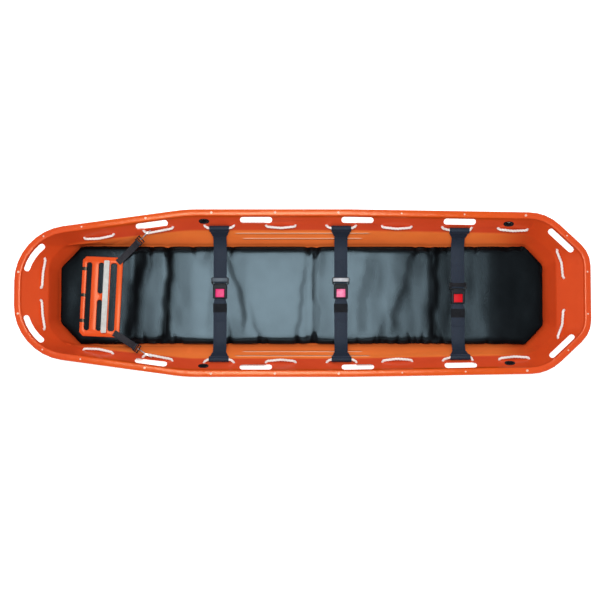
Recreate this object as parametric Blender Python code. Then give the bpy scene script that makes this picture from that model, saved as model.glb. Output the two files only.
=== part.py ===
# Basket stretcher: moulded tub, tube under its rim, laced rope, pad, three belts and a foot rest.
# Metres, +Z up, +X towards the head, origin on the ground under the middle of the tub.

import math

import bmesh
import bpy
import numpy as np
from mathutils import Matrix

MM = 0.001
FIT_GAP = 0.3 * MM

# Tub
LENGTH = 2160 * MM
WIDTH = 630 * MM
HEIGHT = 190 * MM
SHELL_WALL = 4 * MM
SKIRT_DEPTH = 30 * MM
RIM_ROUND = 6 * MM
WALL_START = 29 * MM
WALL_START_DROP = 12 * MM
WALL_FOOT_Z = 104 * MM
FLOOR_Z = 20 * MM

# Plan of the rim
FOOT_END_WIDTH = 454 * MM
TAPER_LENGTH = 643 * MM
TAPER_RADIUS = 600 * MM
FOOT_CUT = 105 * MM
FOOT_RADIUS = 210 * MM
SHOULDER_WIDTH = 600 * MM
NARROWING_LENGTH = 900 * MM
NARROWING_RADIUS = 900 * MM
HEAD_CUT_ALONG = 163 * MM
HEAD_CUT_ACROSS = 150 * MM
SHOULDER_RADIUS = 170 * MM
HEAD_RADIUS = 112 * MM

# Plan of the steep wall's foot, inboard of the rim
WALL_IN_SIDE = 72 * MM
WALL_IN_FOOT = 112 * MM
WALL_IN_HEAD = 112 * MM
WALL_IN_TAPER = 56 * MM
WALL_HEAD_CUT = (91 * MM, 84 * MM)
WALL_HEAD_RADII = (60 * MM, 120 * MM)
WALL_FOOT_CUT = 60 * MM
WALL_FOOT_RADIUS = 80 * MM

# Plan of the floor
FLOOR_WIDTH = 373 * MM
FLOOR_IN_FOOT = 152 * MM
FLOOR_IN_HEAD = 160 * MM
FLOOR_CUT = 84 * MM
FLOOR_HEAD_CUT = 75 * MM
FLOOR_RADIUS = 40 * MM

# Hand slots, high in the wall
SLOT_LENGTH = 122 * MM
SLOT_WIDTH = 19 * MM
SLOT_INSET = 38 * MM
SLOT_CUT_DEPTH = 53 * MM
SLOT_HEAD_SHIFT = -46 * MM
SLOT_FOOT_SHIFT = -22 * MM
SLOT_AT = (0.237, 0.419, 0.596, 0.7745)

# Tube under the rim
TUBE_DIAMETER = 17 * MM
TUBE_WALL = 2 * MM
TUBE_PLAY = 0.8 * MM
TUBE_SPLIT_AT = 0.509
SPIGOT_LENGTH = 120 * MM

# Rope
ROPE_DIAMETER = 10 * MM
ROPE_HOLE = 12 * MM
ROPE_GAP = 1 * MM
ROPE_STRETCH = 112 * MM
ROPE_AT = (0.1435, 0.2472, 0.3542, 0.462, 0.568, 0.6653, 0.7708, 0.869)
ROPE_BOW = 6 * MM
ROPE_HEAD_SPREAD = 235 * MM
ROPE_FOOT_SPREAD = 160 * MM
ROPE_LEVEL = 0.62
ROPE_END_DROP = 0.13

# Belts
BELT_AT = (0.3542, 0.568, 0.775)
BELT_SHIFT = (0, 0, -19.5 * MM)
BELT_LOOP_WIDTH = 75 * MM
BELT_PULL = 13 * MM

BELT_WIDTH = 50 * MM
BELT_NARROW = 40 * MM
BELT_THICKNESS = 2 * MM
BELT_TAIL_UP = 133 * MM
BELT_TAIL_DOWN = 100 * MM
BELT_FOLD = 46 * MM
KEEPER_START = 34 * MM
KEEPER_WIDTH = 33 * MM
KEEPER_WALL = 0.9 * MM

# Tongue with its adjuster frame, and the knurled bar
TONGUE_END = 67 * MM
TONGUE_MOUTH = 39 * MM
TONGUE_WIDTH = 65 * MM
TONGUE_THICKNESS = 2.5 * MM
TONGUE_RAISE = 9 * MM
BLADE_WIDTH = 35 * MM
BLADE_DEPTH = 32 * MM
BAR_DEPTH = 14 * MM
BAR_HEIGHT = 5 * MM
BAR_TEETH = 7
BAR_TRAVEL = 3 * MM

# Buckle
BUCKLE_WIDTH = 53 * MM
BUCKLE_BACK = -15 * MM
BUCKLE_HEIGHT = 19.5 * MM
COVER_WALL = 2 * MM
BASE_THICKNESS = 2.2 * MM
BASE_RAISE = 6.3 * MM
BUTTON_WIDTH = 33 * MM
BUTTON_LENGTH = 31 * MM
BUTTON_MIDDLE = 6 * MM
BUTTON_TRAVEL = 3 * MM
SPRING_WIRE = 0.9 * MM
SPRING_RADIUS = 5 * MM
SPRING_TURNS = 2.5

# Pad
PAD_THICKNESS = 40 * MM
PAD_WIDTH = 383 * MM
PAD_END_GAP = 4 * MM
PAD_CROWN = 5 * MM
PAD_SEAM = 14 * MM
PAD_ROUND = 25 * MM
PAD_FOLDS = (0.207, 0.2634, 0.5097, 0.522, 0.7255)
PAD_FOLD_DEPTH = 4 * MM

# Lifting holes, high in the wall
EYELET_AT = (0.328, 0.860)
EYELET_LENGTH = 40 * MM
EYELET_WIDTH = 30 * MM
EYELET_HOLE_LENGTH = 28 * MM
EYELET_HOLE_WIDTH = 18 * MM
EYELET_DEPTH = 12 * MM
EYELET_DOWN = 0.3
GUARD_DROP = 14 * MM
GUARD_WIDTH = 14 * MM
GUARD_THICKNESS = 2 * MM
GUARD_FOOT = 16 * MM

# Foot rest
REST_AT = 311 * MM
REST_OFFSET = -7.5 * MM
REST_TURN = -2.5
REST_LENGTH = 305 * MM
REST_THICKNESS = 12 * MM
REST_RIB_HEIGHT = 20 * MM
REST_BARS = (-76.5, -60, -40, -14.5, 6, 31, 56, 76.5)
STRAP_WIDTH = 25 * MM
STRAP_THICKNESS = 2 * MM
STRAP_CORNER = 66 * MM
STRAP_CORNER_IN = 11 * MM
STRAP_FLAT = 12 * MM
STRAP_FOLD = 24 * MM
REST_END = 22 * MM
REST_BRIDGE = 12 * MM
ADJUSTER_LENGTH = 26 * MM
ADJUSTER_WIDTH = 32 * MM
ADJUSTER_THICKNESS = 2.5 * MM
ADJUSTER_BAR = 4 * MM
ADJUSTER_EYE = 3.9 * MM
HOOK_WIRE = 4 * MM
HOOK_EYE = 5 * MM
HOOK_SHANK = 16 * MM
HOOK_PLAY = 1 * MM
HOOK_SLANT_PLAY = 1.4 * MM
HOOK_BACK = 42 * MM
HOOK_BOW = 8 * MM

# Skid runners under the floor
RUNNER_LENGTH = 1420 * MM
RUNNER_WIDTH = 46 * MM
RUNNER_SPREAD = 190 * MM
RUNNER_FLARE = 7 * MM

DRAIN_DIAMETER = 16 * MM
DRAIN_PITCH = 400 * MM

HALF_LENGTH = LENGTH / 2
RIM_BAND = 2 * SHELL_WALL + 2 * TUBE_PLAY + TUBE_DIAMETER
TUBE_INSET = SHELL_WALL + TUBE_PLAY + TUBE_DIAMETER / 2
TUBE_Z = HEIGHT - SHELL_WALL - FIT_GAP - TUBE_DIAMETER / 2
PAD_TOP = FLOOR_Z + FIT_GAP + PAD_THICKNESS
LOWER_LAYER = PAD_TOP + FIT_GAP + KEEPER_WALL + FIT_GAP + BELT_THICKNESS / 2
UPPER_LAYER = LOWER_LAYER + BELT_THICKNESS + 0.5 * MM
ROPE_EYE = ROPE_DIAMETER / 2 + 2.2 * MM + BELT_THICKNESS / 2

# Segments of the fillets, from the head corner round to the foot corner
CORNER_SEGMENTS = (3, 4, 1, 3, 4, 4)
STRAIGHT_SPREAD = 20 * MM
TAPER_CORNER = 3
TAPER_POINTS = 3


def material(name, colour, roughness, metallic=0.0):
    mat = bpy.data.materials.new(name)
    mat.use_nodes = True
    shader = mat.node_tree.nodes["Principled BSDF"]
    shader.inputs["Base Color"].default_value = (*colour, 1.0)
    shader.inputs["Roughness"].default_value = roughness
    shader.inputs["Metallic"].default_value = metallic
    return mat


def add_object(name, bm, mat, smooth_angle=35.0, location=(0, 0, 0)):
    bmesh.ops.recalc_face_normals(bm, faces=bm.faces[:])
    return add_open_object(name, bm, mat, smooth_angle, location)


def add_open_object(name, bm, mat, smooth_angle=35.0, location=(0, 0, 0)):
    mesh = bpy.data.meshes.new(name)
    bm.to_mesh(mesh)
    bm.free()
    mesh.shade_smooth()
    mesh.set_sharp_from_angle(angle=math.radians(smooth_angle))
    obj = bpy.data.objects.new(name, mesh)
    obj.location = location
    if mat:
        mesh.materials.append(mat)
    bpy.context.scene.collection.objects.link(obj)
    return obj


def add_helper(name, bm):
    helper = add_object(name, bm, None)
    helper.hide_render = True
    helper.display_type = "WIRE"
    return helper


def boolean(obj, helper, operation):
    cut = obj.modifiers.new(helper.name, "BOOLEAN")
    cut.operation = operation
    cut.object = helper
    return cut


def unit(vector):
    vector = np.asarray(vector, float)
    return vector / np.linalg.norm(vector)


# Plan outlines: half of a polygon with rounded corners, from the head corner to the foot corner

def cut_corner(x, y, toward_x, along, across, radii):
    """Two corners in place of one at (x, y): one on the end line, one on the side line."""
    end = (x, y - across, radii[0])
    side_slope = unit((toward_x[0] - x, toward_x[1] - y))
    side = (x + side_slope[0] * along, y + side_slope[1] * along, radii[1])
    return end, side


def rim_corners():
    taper_x = TAPER_LENGTH - HALF_LENGTH
    narrow_x = HALF_LENGTH - NARROWING_LENGTH
    head, shoulder = cut_corner(
        HALF_LENGTH, SHOULDER_WIDTH / 2, (narrow_x, WIDTH / 2),
        HEAD_CUT_ALONG, HEAD_CUT_ACROSS, (HEAD_RADIUS, SHOULDER_RADIUS),
    )
    foot_end, foot_side = cut_corner(
        -HALF_LENGTH, FOOT_END_WIDTH / 2, (taper_x, WIDTH / 2),
        FOOT_CUT, FOOT_CUT, (FOOT_RADIUS, FOOT_RADIUS),
    )
    return [
        head,
        shoulder,
        (narrow_x, WIDTH / 2, NARROWING_RADIUS),
        (taper_x, WIDTH / 2, TAPER_RADIUS),
        foot_side,
        foot_end,
    ]


def wall_corners():
    rim = rim_corners()
    foot_x = WALL_IN_FOOT - HALF_LENGTH
    taper_rise = (WIDTH - FOOT_END_WIDTH) / 2 / TAPER_LENGTH
    foot_y = FOOT_END_WIDTH / 2 + taper_rise * WALL_IN_FOOT - WALL_IN_TAPER
    side_y = WIDTH / 2 - WALL_IN_SIDE
    shoulder_y = SHOULDER_WIDTH / 2 - WALL_IN_SIDE
    head_x = HALF_LENGTH - WALL_IN_HEAD
    head, shoulder = cut_corner(
        head_x, shoulder_y, (rim[2][0], side_y), *WALL_HEAD_CUT, WALL_HEAD_RADII
    )
    foot_end, foot_side = cut_corner(
        foot_x, foot_y, (rim[3][0], side_y), WALL_FOOT_CUT, WALL_FOOT_CUT, (WALL_FOOT_RADIUS,) * 2
    )
    return [
        head,
        shoulder,
        (rim[2][0], side_y, NARROWING_RADIUS),
        (rim[3][0], side_y, TAPER_RADIUS),
        foot_side,
        foot_end,
    ]


def floor_corners():
    rim = rim_corners()
    side_y = FLOOR_WIDTH / 2
    head, shoulder = cut_corner(
        HALF_LENGTH - FLOOR_IN_HEAD, side_y, (0, side_y),
        FLOOR_HEAD_CUT, FLOOR_HEAD_CUT, (FLOOR_RADIUS, FLOOR_RADIUS),
    )
    foot_end, foot_side = cut_corner(
        FLOOR_IN_FOOT - HALF_LENGTH, side_y, (0, side_y),
        FLOOR_CUT, FLOOR_CUT, (FLOOR_RADIUS, FLOOR_RADIUS),
    )
    return [
        head,
        shoulder,
        (rim[2][0], side_y, NARROWING_RADIUS),
        (rim[3][0], side_y, TAPER_RADIUS),
        foot_side,
        foot_end,
    ]


def full_polygon(corners):
    return corners + [(x, -y, r) for x, y, r in reversed(corners)]


def line_crossing(p, d, q, e):
    """Where the line through p along d meets the line through q along e."""
    cross = d[0] * e[1] - d[1] * e[0]
    if abs(cross) < 1e-9:
        return (p + q) / 2
    t = ((q[0] - p[0]) * e[1] - (q[1] - p[1]) * e[0]) / cross
    return p + d * t


def inset_corners(corners, inset):
    """The same corners with every edge moved inboard by inset."""
    polygon = full_polygon(corners)
    points = [np.array(c[:2]) for c in polygon]
    count = len(points)
    moved = []
    for i in range(len(corners)):
        before, here, after = points[i - 1], points[i], points[(i + 1) % count]
        d_in, d_out = unit(here - before), unit(after - here)
        n_in, n_out = np.array((-d_in[1], d_in[0])), np.array((-d_out[1], d_out[0]))
        x, y = line_crossing(here + n_in * inset, d_in, here + n_out * inset, d_out)
        moved.append((x, y, max(polygon[i][2] - inset, 8 * MM)))
    return moved


def rounded(corners, finer=1):
    """Points round the whole outline, anticlockwise from the head."""
    polygon = full_polygon(corners)
    segments = list(CORNER_SEGMENTS) + list(reversed(CORNER_SEGMENTS))
    points = [np.array(c[:2]) for c in polygon]
    count = len(points)
    ring = []
    for i in range(count):
        before, here, after = points[i - 1], points[i], points[(i + 1) % count]
        d_in, d_out = unit(here - before), unit(after - here)
        turn = math.acos(np.clip(d_in @ d_out, -1, 1))
        reach = 0.49 * min(np.linalg.norm(here - before), np.linalg.norm(after - here))
        steps = segments[i] * finer
        straight = turn < 1e-3
        if straight:
            ring += [here + d_in * STRAIGHT_SPREAD * (2 * k / steps - 1) for k in range(steps + 1)]
        radius = min(polygon[i][2], reach / math.tan(max(turn, 1e-3) / 2))
        tangent = radius * math.tan(turn / 2)
        start = here - d_in * tangent
        centre = start + np.array((-d_in[1], d_in[0])) * radius
        for k in range(0 if straight else steps + 1):
            angle = turn * k / steps
            arm = start - centre
            turned = (
                arm[0] * math.cos(angle) - arm[1] * math.sin(angle),
                arm[0] * math.sin(angle) + arm[1] * math.cos(angle),
            )
            ring.append(centre + np.array(turned))
        if i in (TAPER_CORNER, count - 2 - TAPER_CORNER):
            ring += [None] * TAPER_POINTS
    return fill_gaps(ring)


def fill_gaps(ring):
    """The ring with each run of missing points spread evenly over its straight edge."""
    count = len(ring)
    filled = []
    for i, point in enumerate(ring):
        if point is not None:
            filled.append(point)
            continue
        first = max(k for k in range(i) if ring[k] is not None)
        last = min(k for k in range(i, count) if ring[k] is not None)
        filled.append(ring[first] + (ring[last] - ring[first]) * (i - first) / (last - first))
    return np.array(filled)


# The tub's section: rings on its upper side, from the skirt's edge to the floor

def at_height(plan, z):
    return np.column_stack([plan, np.full(len(plan), z)])


def shell_rings():
    rim, wall, floor = rim_corners(), wall_corners(), floor_corners()
    section = [
        (0.0, HEIGHT - SKIRT_DEPTH),
        (0.0, HEIGHT - RIM_ROUND),
        (RIM_ROUND * 0.3, HEIGHT - RIM_ROUND * 0.3),
        (RIM_ROUND, HEIGHT),
        (RIM_BAND - RIM_ROUND, HEIGHT),
        (RIM_BAND - RIM_ROUND * 0.3, HEIGHT - RIM_ROUND * 0.3),
        (RIM_BAND, HEIGHT - RIM_ROUND),
        (WALL_START, HEIGHT - WALL_START_DROP),
    ]
    rings = [at_height(rounded(inset_corners(rim, s)), z) for s, z in section]
    rings.append(at_height(rounded(wall), WALL_FOOT_Z))
    rings.append(at_height(rounded(inset_corners(wall, 7 * MM)), WALL_FOOT_Z - 8 * MM))
    rings.append(at_height(rounded(inset_corners(floor, -9 * MM)), FLOOR_Z + 11 * MM))
    rings.append(at_height(rounded(inset_corners(floor, -1 * MM)), FLOOR_Z + 2 * MM))
    rings.append(at_height(rounded(inset_corners(floor, 7 * MM)), FLOOR_Z))
    return rings


WALL_TOP_RING = 7
WALL_FOOT_RING = 8


def loft(bm, rings):
    loops = [[bm.verts.new(p) for p in ring] for ring in rings]
    for outer, inner in zip(loops, loops[1:]):
        count = len(outer)
        for i in range(count):
            j = (i + 1) % count
            bm.faces.new((outer[i], outer[j], inner[j], inner[i]))
    return loops


def station_x(share):
    return -HALF_LENGTH + share * LENGTH


def outline_at(points, x):
    """A place on a plan outline's +Y half, and the unit vector along it."""
    half = points[: len(points) // 2]
    for a, b in zip(half, half[1:]):
        if b[0] <= x <= a[0] and a[0] > b[0]:
            return a + (b - a) * (a[0] - x) / (a[0] - b[0]), unit(b - a)
    raise ValueError("no such place on the outline")


def along_outline(points, start, distance):
    """The point and direction at a distance along the outline from the vertex index start."""
    count = len(points)
    i = start
    step = 1 if distance >= 0 else -1
    left = abs(distance)
    while True:
        a, b = points[i % count], points[(i + step) % count]
        length = np.linalg.norm(b - a)
        if left <= length:
            return a + (b - a) * left / length, unit(b - a) * step
        left -= length
        i += step


def slot_outline(middle_points, directions, width, round_steps=4):
    """The outline of a slot with round ends that follows a line of points."""
    outline = []
    ahead, back = directions[-1], directions[0]
    sides = [np.array((-d[1], d[0])) for d in directions]
    for p, n in zip(middle_points, sides):
        outline.append(p - n * width / 2)
    for k in range(1, round_steps):
        a = math.pi * k / round_steps
        n = sides[-1]
        outline.append(middle_points[-1] + (ahead * math.sin(a) - n * math.cos(a)) * width / 2)
    for p, n in zip(reversed(middle_points), reversed(sides)):
        outline.append(p + n * width / 2)
    for k in range(1, round_steps):
        a = math.pi * k / round_steps
        n = sides[0]
        outline.append(middle_points[0] + (n * math.cos(a) - back * math.sin(a)) * width / 2)
    return outline


def skin_prism(bm, loops):
    """Faces of a closed body through loops of as many points each."""
    bm.faces.new(loops[0][::-1])
    bm.faces.new(loops[-1])
    count = len(loops[0])
    for first, second in zip(loops, loops[1:]):
        for i in range(count):
            j = (i + 1) % count
            bm.faces.new((first[i], first[j], second[j], second[i]))


def frustum(bm, low_outline, low, high_outline, high):
    """A closed solid between an outline at one height and one of as many points at another."""
    bottom = [bm.verts.new((p[0], p[1], low)) for p in low_outline]
    top = [bm.verts.new((p[0], p[1], high)) for p in high_outline]
    skin_prism(bm, (bottom, top))


def prism(bm, outline, low, high):
    frustum(bm, outline, low, outline, high)


def cylinder_between(bm, start, end, radius, sides):
    """A closed cylinder with flat ends."""
    axis = unit(np.asarray(end) - np.asarray(start))
    across = unit(np.cross(axis, (0, 0, 1) if abs(axis[2]) < 0.9 else (1, 0, 0)))
    up = np.cross(axis, across)
    loops = []
    for centre in (start, end):
        loop = []
        for k in range(sides):
            a = 2 * math.pi * k / sides
            spoke = across * math.cos(a) + up * math.sin(a)
            loop.append(bm.verts.new(np.asarray(centre) + spoke * radius))
        loops.append(loop)
    bm.faces.new(loops[0])
    bm.faces.new(list(reversed(loops[1])))
    for i in range(sides):
        j = (i + 1) % sides
        bm.faces.new((loops[0][j], loops[0][i], loops[1][i], loops[1][j]))


def slot_places():
    """Middle lines of the hand slots on the +Y half: sides first, then head and foot corners."""
    line = rounded(inset_corners(rim_corners(), SLOT_INSET), finer=3)
    straight = SLOT_LENGTH - SLOT_WIDTH
    places = []
    for share in SLOT_AT:
        middle, along = outline_at(line, station_x(share))
        ends = [middle - along * straight / 2, middle + along * straight / 2]
        places.append((ends, [along, along]))
    for first, second, shift in ((0, 1, SLOT_HEAD_SHIFT), (5, 4, SLOT_FOOT_SHIFT)):
        corners = inset_corners(rim_corners(), SLOT_INSET)
        centre = (np.array(corners[first][:2]) + np.array(corners[second][:2])) / 2
        start = int(np.argmin(np.linalg.norm(line[: len(line) // 2] - centre, axis=1)))
        way = 1 if first < second else -1
        steps = [way * (shift + straight * (k / 4 - 0.5)) for k in range(5)]
        walked = [along_outline(line, start, s) for s in steps]
        places.append(([p for p, _ in walked], [d * way for _, d in walked]))
    return places


def mirrored(places):
    """The same middle lines on the -Y side."""
    flip = np.array((1, -1))
    return [([p * flip for p in points], [d * flip for d in ways]) for points, ways in places]


# The wall band that carries the rope

def rope_level(point):
    """How far down the steep wall the rope's holes are, from 0 to 1."""
    end_zone = 150 * MM
    from_end = min(point[0] + HALF_LENGTH - WALL_IN_FOOT, HALF_LENGTH - WALL_IN_HEAD - point[0])
    near_end = np.clip(1 - from_end / end_zone, 0, 1)
    return ROPE_LEVEL + ROPE_END_DROP * near_end


def rope_band(rings):
    top, foot = rings[WALL_TOP_RING], rings[WALL_FOOT_RING]
    shares = np.array([rope_level(p) for p in foot])[:, None]
    line = top + (foot - top) * shares
    down = foot - top
    return line, down


def facet_normal(line, down, i):
    j = (i + 1) % len(line)
    along = line[j] - line[i]
    return unit(np.cross(along, down[i] + down[j]))


def vertex_normal(line, down, i):
    """The offset direction at a corner of the band, long enough to keep the offset on both facets."""
    a, b = facet_normal(line, down, (i - 1) % len(line)), facet_normal(line, down, i)
    middle = unit(a + b)
    return middle / (middle @ a)


class RopeBand:
    """The faceted line of the rope's holes on the wall's inner face."""

    def __init__(self, rings):
        self.line, self.down = rope_band(rings)
        steps = np.linalg.norm(np.roll(self.line, -1, axis=0) - self.line, axis=1)
        self.lengths = steps
        self.starts = np.concatenate([[0], np.cumsum(steps)])
        self.total = self.starts[-1]

    def facet(self, s):
        s = s % self.total
        return int(np.searchsorted(self.starts, s, side="right") - 1) % len(self.line)

    def point(self, s):
        i = self.facet(s)
        j = (i + 1) % len(self.line)
        t = (s % self.total - self.starts[i]) / self.lengths[i]
        return self.line[i] + (self.line[j] - self.line[i]) * t

    def normal(self, s):
        return facet_normal(self.line, self.down, self.facet(s))

    def find(self, axis, value, keep):
        """The distance along the band where a coordinate has a value, on the side that keep picks."""
        count = len(self.line)
        for i in range(count):
            a, b = self.line[i], self.line[(i + 1) % count]
            low, high = sorted((a[axis], b[axis]))
            if keep(a) and keep(b) and low <= value <= high and high > low:
                t = (value - a[axis]) / (b[axis] - a[axis])
                return self.starts[i] + t * self.lengths[i]
        raise ValueError("the rope's band has no such place")

    def corners_between(self, start, end):
        """Indices and distances of the band's corners from start to end, going forward."""
        found = []
        for i, s in enumerate(self.starts[:-1]):
            for turn in (0, self.total):
                if start + 3 * MM < s + turn < end - 3 * MM:
                    found.append((s + turn, i))
        return sorted(found)


def rope_stations(band):
    """Start and end of each inside stretch, as distances along the band, in order from the head."""
    middles = []
    for share in ROPE_AT:
        x = station_x(share)
        middles.append(band.find(0, x, lambda p: p[1] > 0 and abs(p[0]) < HALF_LENGTH - 130 * MM))
        middles.append(band.find(0, x, lambda p: p[1] < 0 and abs(p[0]) < HALF_LENGTH - 130 * MM))
    for side in (0.5, -0.5):
        middles.append(band.find(1, side * ROPE_HEAD_SPREAD, lambda p: p[0] > HALF_LENGTH - 250 * MM))
        middles.append(band.find(1, side * ROPE_FOOT_SPREAD, lambda p: p[0] < 250 * MM - HALF_LENGTH))
    return [(m - ROPE_STRETCH / 2, m + ROPE_STRETCH / 2) for m in sorted(middles)]


def rope_route(band):
    """The rope's middle line: a closed list of points, in through one hole and out through the next."""
    inside = ROPE_DIAMETER / 2 + ROPE_GAP
    outside = -(SHELL_WALL + ROPE_DIAMETER / 2 + ROPE_GAP)
    ease = 4 * MM
    stations = rope_stations(band)
    belts = belt_distances(band)
    hooks = hook_distances(band)
    route = []
    for number, (start, end) in enumerate(stations):
        lift_in = [band.point(start) + band.normal(start) * (outside + ease)]
        lift_in.append(band.point(start) + band.normal(start) * (inside - ease))
        lift_in.append(band.point(start + ease) + band.normal(start) * inside)
        route += lift_in
        middle = (start + end) / 2
        held = [s for s in belts if abs(s - middle) < 20 * MM]
        hooked = [s for s in hooks if abs(s - middle) < ROPE_STRETCH / 2]
        if held:
            for s in (held[0] - BELT_LOOP_WIDTH / 2 - 3 * MM, held[0] + BELT_LOOP_WIDTH / 2 + 3 * MM):
                route.append(band.point(s) + band.normal(s) * BELT_PULL)
        elif hooked:
            route.append(rope_at_hook(band, hooked[0]))
        else:
            route.append(band.point(middle) + band.normal(middle) * (inside + ROPE_BOW))
        route.append(band.point(end - ease) + band.normal(end) * inside)
        route.append(band.point(end) + band.normal(end) * (inside - ease))
        route.append(band.point(end) + band.normal(end) * (outside + ease))
        route.append(band.point(end + ease) + band.normal(end) * outside)
        following = stations[(number + 1) % len(stations)][0]
        if following < end:
            following += band.total
        for s, i in band.corners_between(end + ease, following - ease):
            route.append(band.line[i] + vertex_normal(band.line, band.down, i) * outside)
        route.append(band.point(following - ease) + band.normal(following) * outside)
    return route


def hook_distances(band):
    """Where the foot rest's hooks hold the rope, as distances along the band."""
    x = station_x(ROPE_AT[1]) - HOOK_BACK
    return [band.find(0, x, lambda p: p[1] * side > 0) for side in (1, -1)]


def rope_at_hook(band, s):
    return band.point(s) + band.normal(s) * (ROPE_DIAMETER / 2 + ROPE_GAP + HOOK_BOW)


def belt_distances(band):
    """Where the belts' loops hold the rope, as distances along the band."""
    found = []
    for share in BELT_AT:
        for side in (1, -1):
            found.append(band.find(0, station_x(share), lambda p: p[1] * side > 0))
    return found


def tube_rings(route, radius, sides, closed, reference=(0, 0, 1)):
    """Rings of a mitred tube along a route that never runs along the reference."""
    points = [np.asarray(p, float) for p in route]
    count = len(points)
    rings = []
    for i, here in enumerate(points):
        before = points[i - 1] if closed or i > 0 else None
        after = points[(i + 1) % count] if closed or i < count - 1 else None
        d_in = unit(here - before) if before is not None else unit(after - here)
        d_out = unit(after - here) if after is not None else d_in
        tangent = unit(d_in + d_out)
        across = unit(np.cross(tangent, reference))
        up = np.cross(across, tangent)
        bend = d_out - d_in
        stretch = 1 / max(tangent @ d_in, 0.3)
        ring = []
        for k in range(sides):
            a = 2 * math.pi * (k + 0.5) / sides
            spoke = (across * math.cos(a) + up * math.sin(a)) * radius
            if np.linalg.norm(bend) > 1e-6:
                inward = unit(bend)
                spoke = spoke + inward * (spoke @ inward) * (stretch - 1)
            ring.append(here + spoke)
        rings.append(ring)
    return rings


def skin_tube(bm, rings, closed):
    loops = [[bm.verts.new(p) for p in ring] for ring in rings]
    sides = len(loops[0])
    pairs = list(zip(loops, loops[1:]))
    if closed:
        pairs.append((loops[-1], loops[0]))
    for first, second in pairs:
        for k in range(sides):
            j = (k + 1) % sides
            bm.faces.new((first[k], first[j], second[j], second[k]))
    if not closed:
        bm.faces.new(list(reversed(loops[0])))
        bm.faces.new(loops[-1])


def hollow_tube(bm, route, radius, bore_radius, sides):
    """An open pipe: outer and inner skins joined by a flat ring at each end."""
    outer = tube_rings(route, radius, sides, False)
    inner = tube_rings(route, bore_radius, sides, False)
    skins = []
    for rings in (outer, inner):
        skins.append([[bm.verts.new(p) for p in ring] for ring in rings])
    for skin, flip in zip(skins, (False, True)):
        for first, second in zip(skin, skin[1:]):
            for k in range(sides):
                j = (k + 1) % sides
                face = [first[k], first[j], second[j], second[k]]
                bm.faces.new(face[::-1] if flip else face)
    for end, flip in ((0, True), (-1, False)):
        for k in range(sides):
            j = (k + 1) % sides
            face = [skins[0][end][k], skins[0][end][j], skins[1][end][j], skins[1][end][k]]
            bm.faces.new(face if flip else face[::-1])


def make_shell(rings, band, colour):
    bm = bmesh.new()
    loops = loft(bm, rings)
    bm.faces.new(loops[-1])
    shell = add_open_object("shell", bm, colour)
    wall = shell.modifiers.new("wall", "SOLIDIFY")
    wall.thickness = SHELL_WALL
    wall.offset = -1
    wall.use_even_offset = True

    ridges, grooves = bmesh.new(), bmesh.new()
    for side in (1, -1):
        y = side * RUNNER_SPREAD / 2
        for bm, width, low, high in (
            (ridges, RUNNER_WIDTH, 0, FLOOR_Z - SHELL_WALL / 2),
            (grooves, RUNNER_WIDTH - 2 * SHELL_WALL, SHELL_WALL, FLOOR_Z + 2 * MM),
        ):
            half = (RUNNER_LENGTH - width) / 2
            ends = [np.array((-half, y)), np.array((half, y))]
            along = np.array((1.0, 0.0))
            lower = slot_outline(ends, [along, along], width)
            upper = slot_outline(ends, [along, along], width + 2 * RUNNER_FLARE)
            frustum(bm, lower, low, upper, high)
    boolean(shell, add_helper("runner_ridges", ridges), "UNION")

    cuts = bmesh.new()
    low, high = HEIGHT - SLOT_CUT_DEPTH, HEIGHT
    places = slot_places()
    for points, ways in places + mirrored(places):
        prism(cuts, slot_outline(points, ways, SLOT_WIDTH), low, high)
    for start, end in rope_stations(band):
        for s in (start, end):
            middle, normal = band.point(s), band.normal(s)
            reach = 2 * SHELL_WALL
            cylinder_between(cuts, middle - normal * reach, middle + normal * reach, ROPE_HOLE / 2, 8)
    wall = 4 * MM
    for spot in eyelet_spots(rings):
        outline = oval(EYELET_HOLE_LENGTH + wall, EYELET_HOLE_WIDTH + wall, 6)
        spot_prism(cuts, spot, outline, -3 * SHELL_WALL, 2 * SHELL_WALL)
    for k in (-1.5, -0.5, 0.5, 1.5):
        centre = np.array((k * DRAIN_PITCH, 0, FLOOR_Z))
        drop = np.array((0, 0, 2 * SHELL_WALL))
        cylinder_between(cuts, centre - drop, centre + drop, DRAIN_DIAMETER / 2, 8)
    boolean(shell, add_helper("shell_cuts", cuts), "DIFFERENCE")
    boolean(shell, add_helper("runner_grooves", grooves), "DIFFERENCE")
    return shell


def make_frame_tubes(metal):
    """Two bent tubes under the rim, joined by plugs at the sides."""
    plan = rounded(inset_corners(rim_corners(), TUBE_INSET))
    split = station_x(TUBE_SPLIT_AT)
    place, along = outline_at(plan, split)
    half = [p for p in plan[: len(plan) // 2]]
    gap = FIT_GAP
    head = [p for p in half if p[0] > split]
    foot = [p for p in half if p[0] < split]
    flip = np.array((1, -1))
    head_end, foot_end = place - along * gap, place + along * gap
    head_route = [head_end] + head[::-1] + [p * flip for p in head] + [head_end * flip]
    foot_route = [foot_end] + foot + [p * flip for p in foot[::-1]] + [foot_end * flip]
    bore = TUBE_DIAMETER / 2 - TUBE_WALL
    for name, route in (("frame_tube_head", head_route), ("frame_tube_foot", foot_route)):
        bm = bmesh.new()
        hollow_tube(bm, [(*p, TUBE_Z) for p in route], TUBE_DIAMETER / 2, bore, 8)
        add_object(name, bm, metal)
    for name, side in (("frame_spigot_left", 1), ("frame_spigot_right", -1)):
        reach = along * SPIGOT_LENGTH / 2
        ends = [(place + reach * t) * (1, side) for t in (-1, 1)]
        bm = bmesh.new()
        rings = tube_rings([(*p, TUBE_Z) for p in ends], bore - FIT_GAP, 8, False)
        skin_tube(bm, rings, False)
        add_object(name, bm, metal)


def make_rope(band, colour):
    bm = bmesh.new()
    skin_tube(bm, tube_rings(rope_route(band), ROPE_DIAMETER / 2, 6, True), True)
    add_object("grab_rope", bm, colour)


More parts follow.
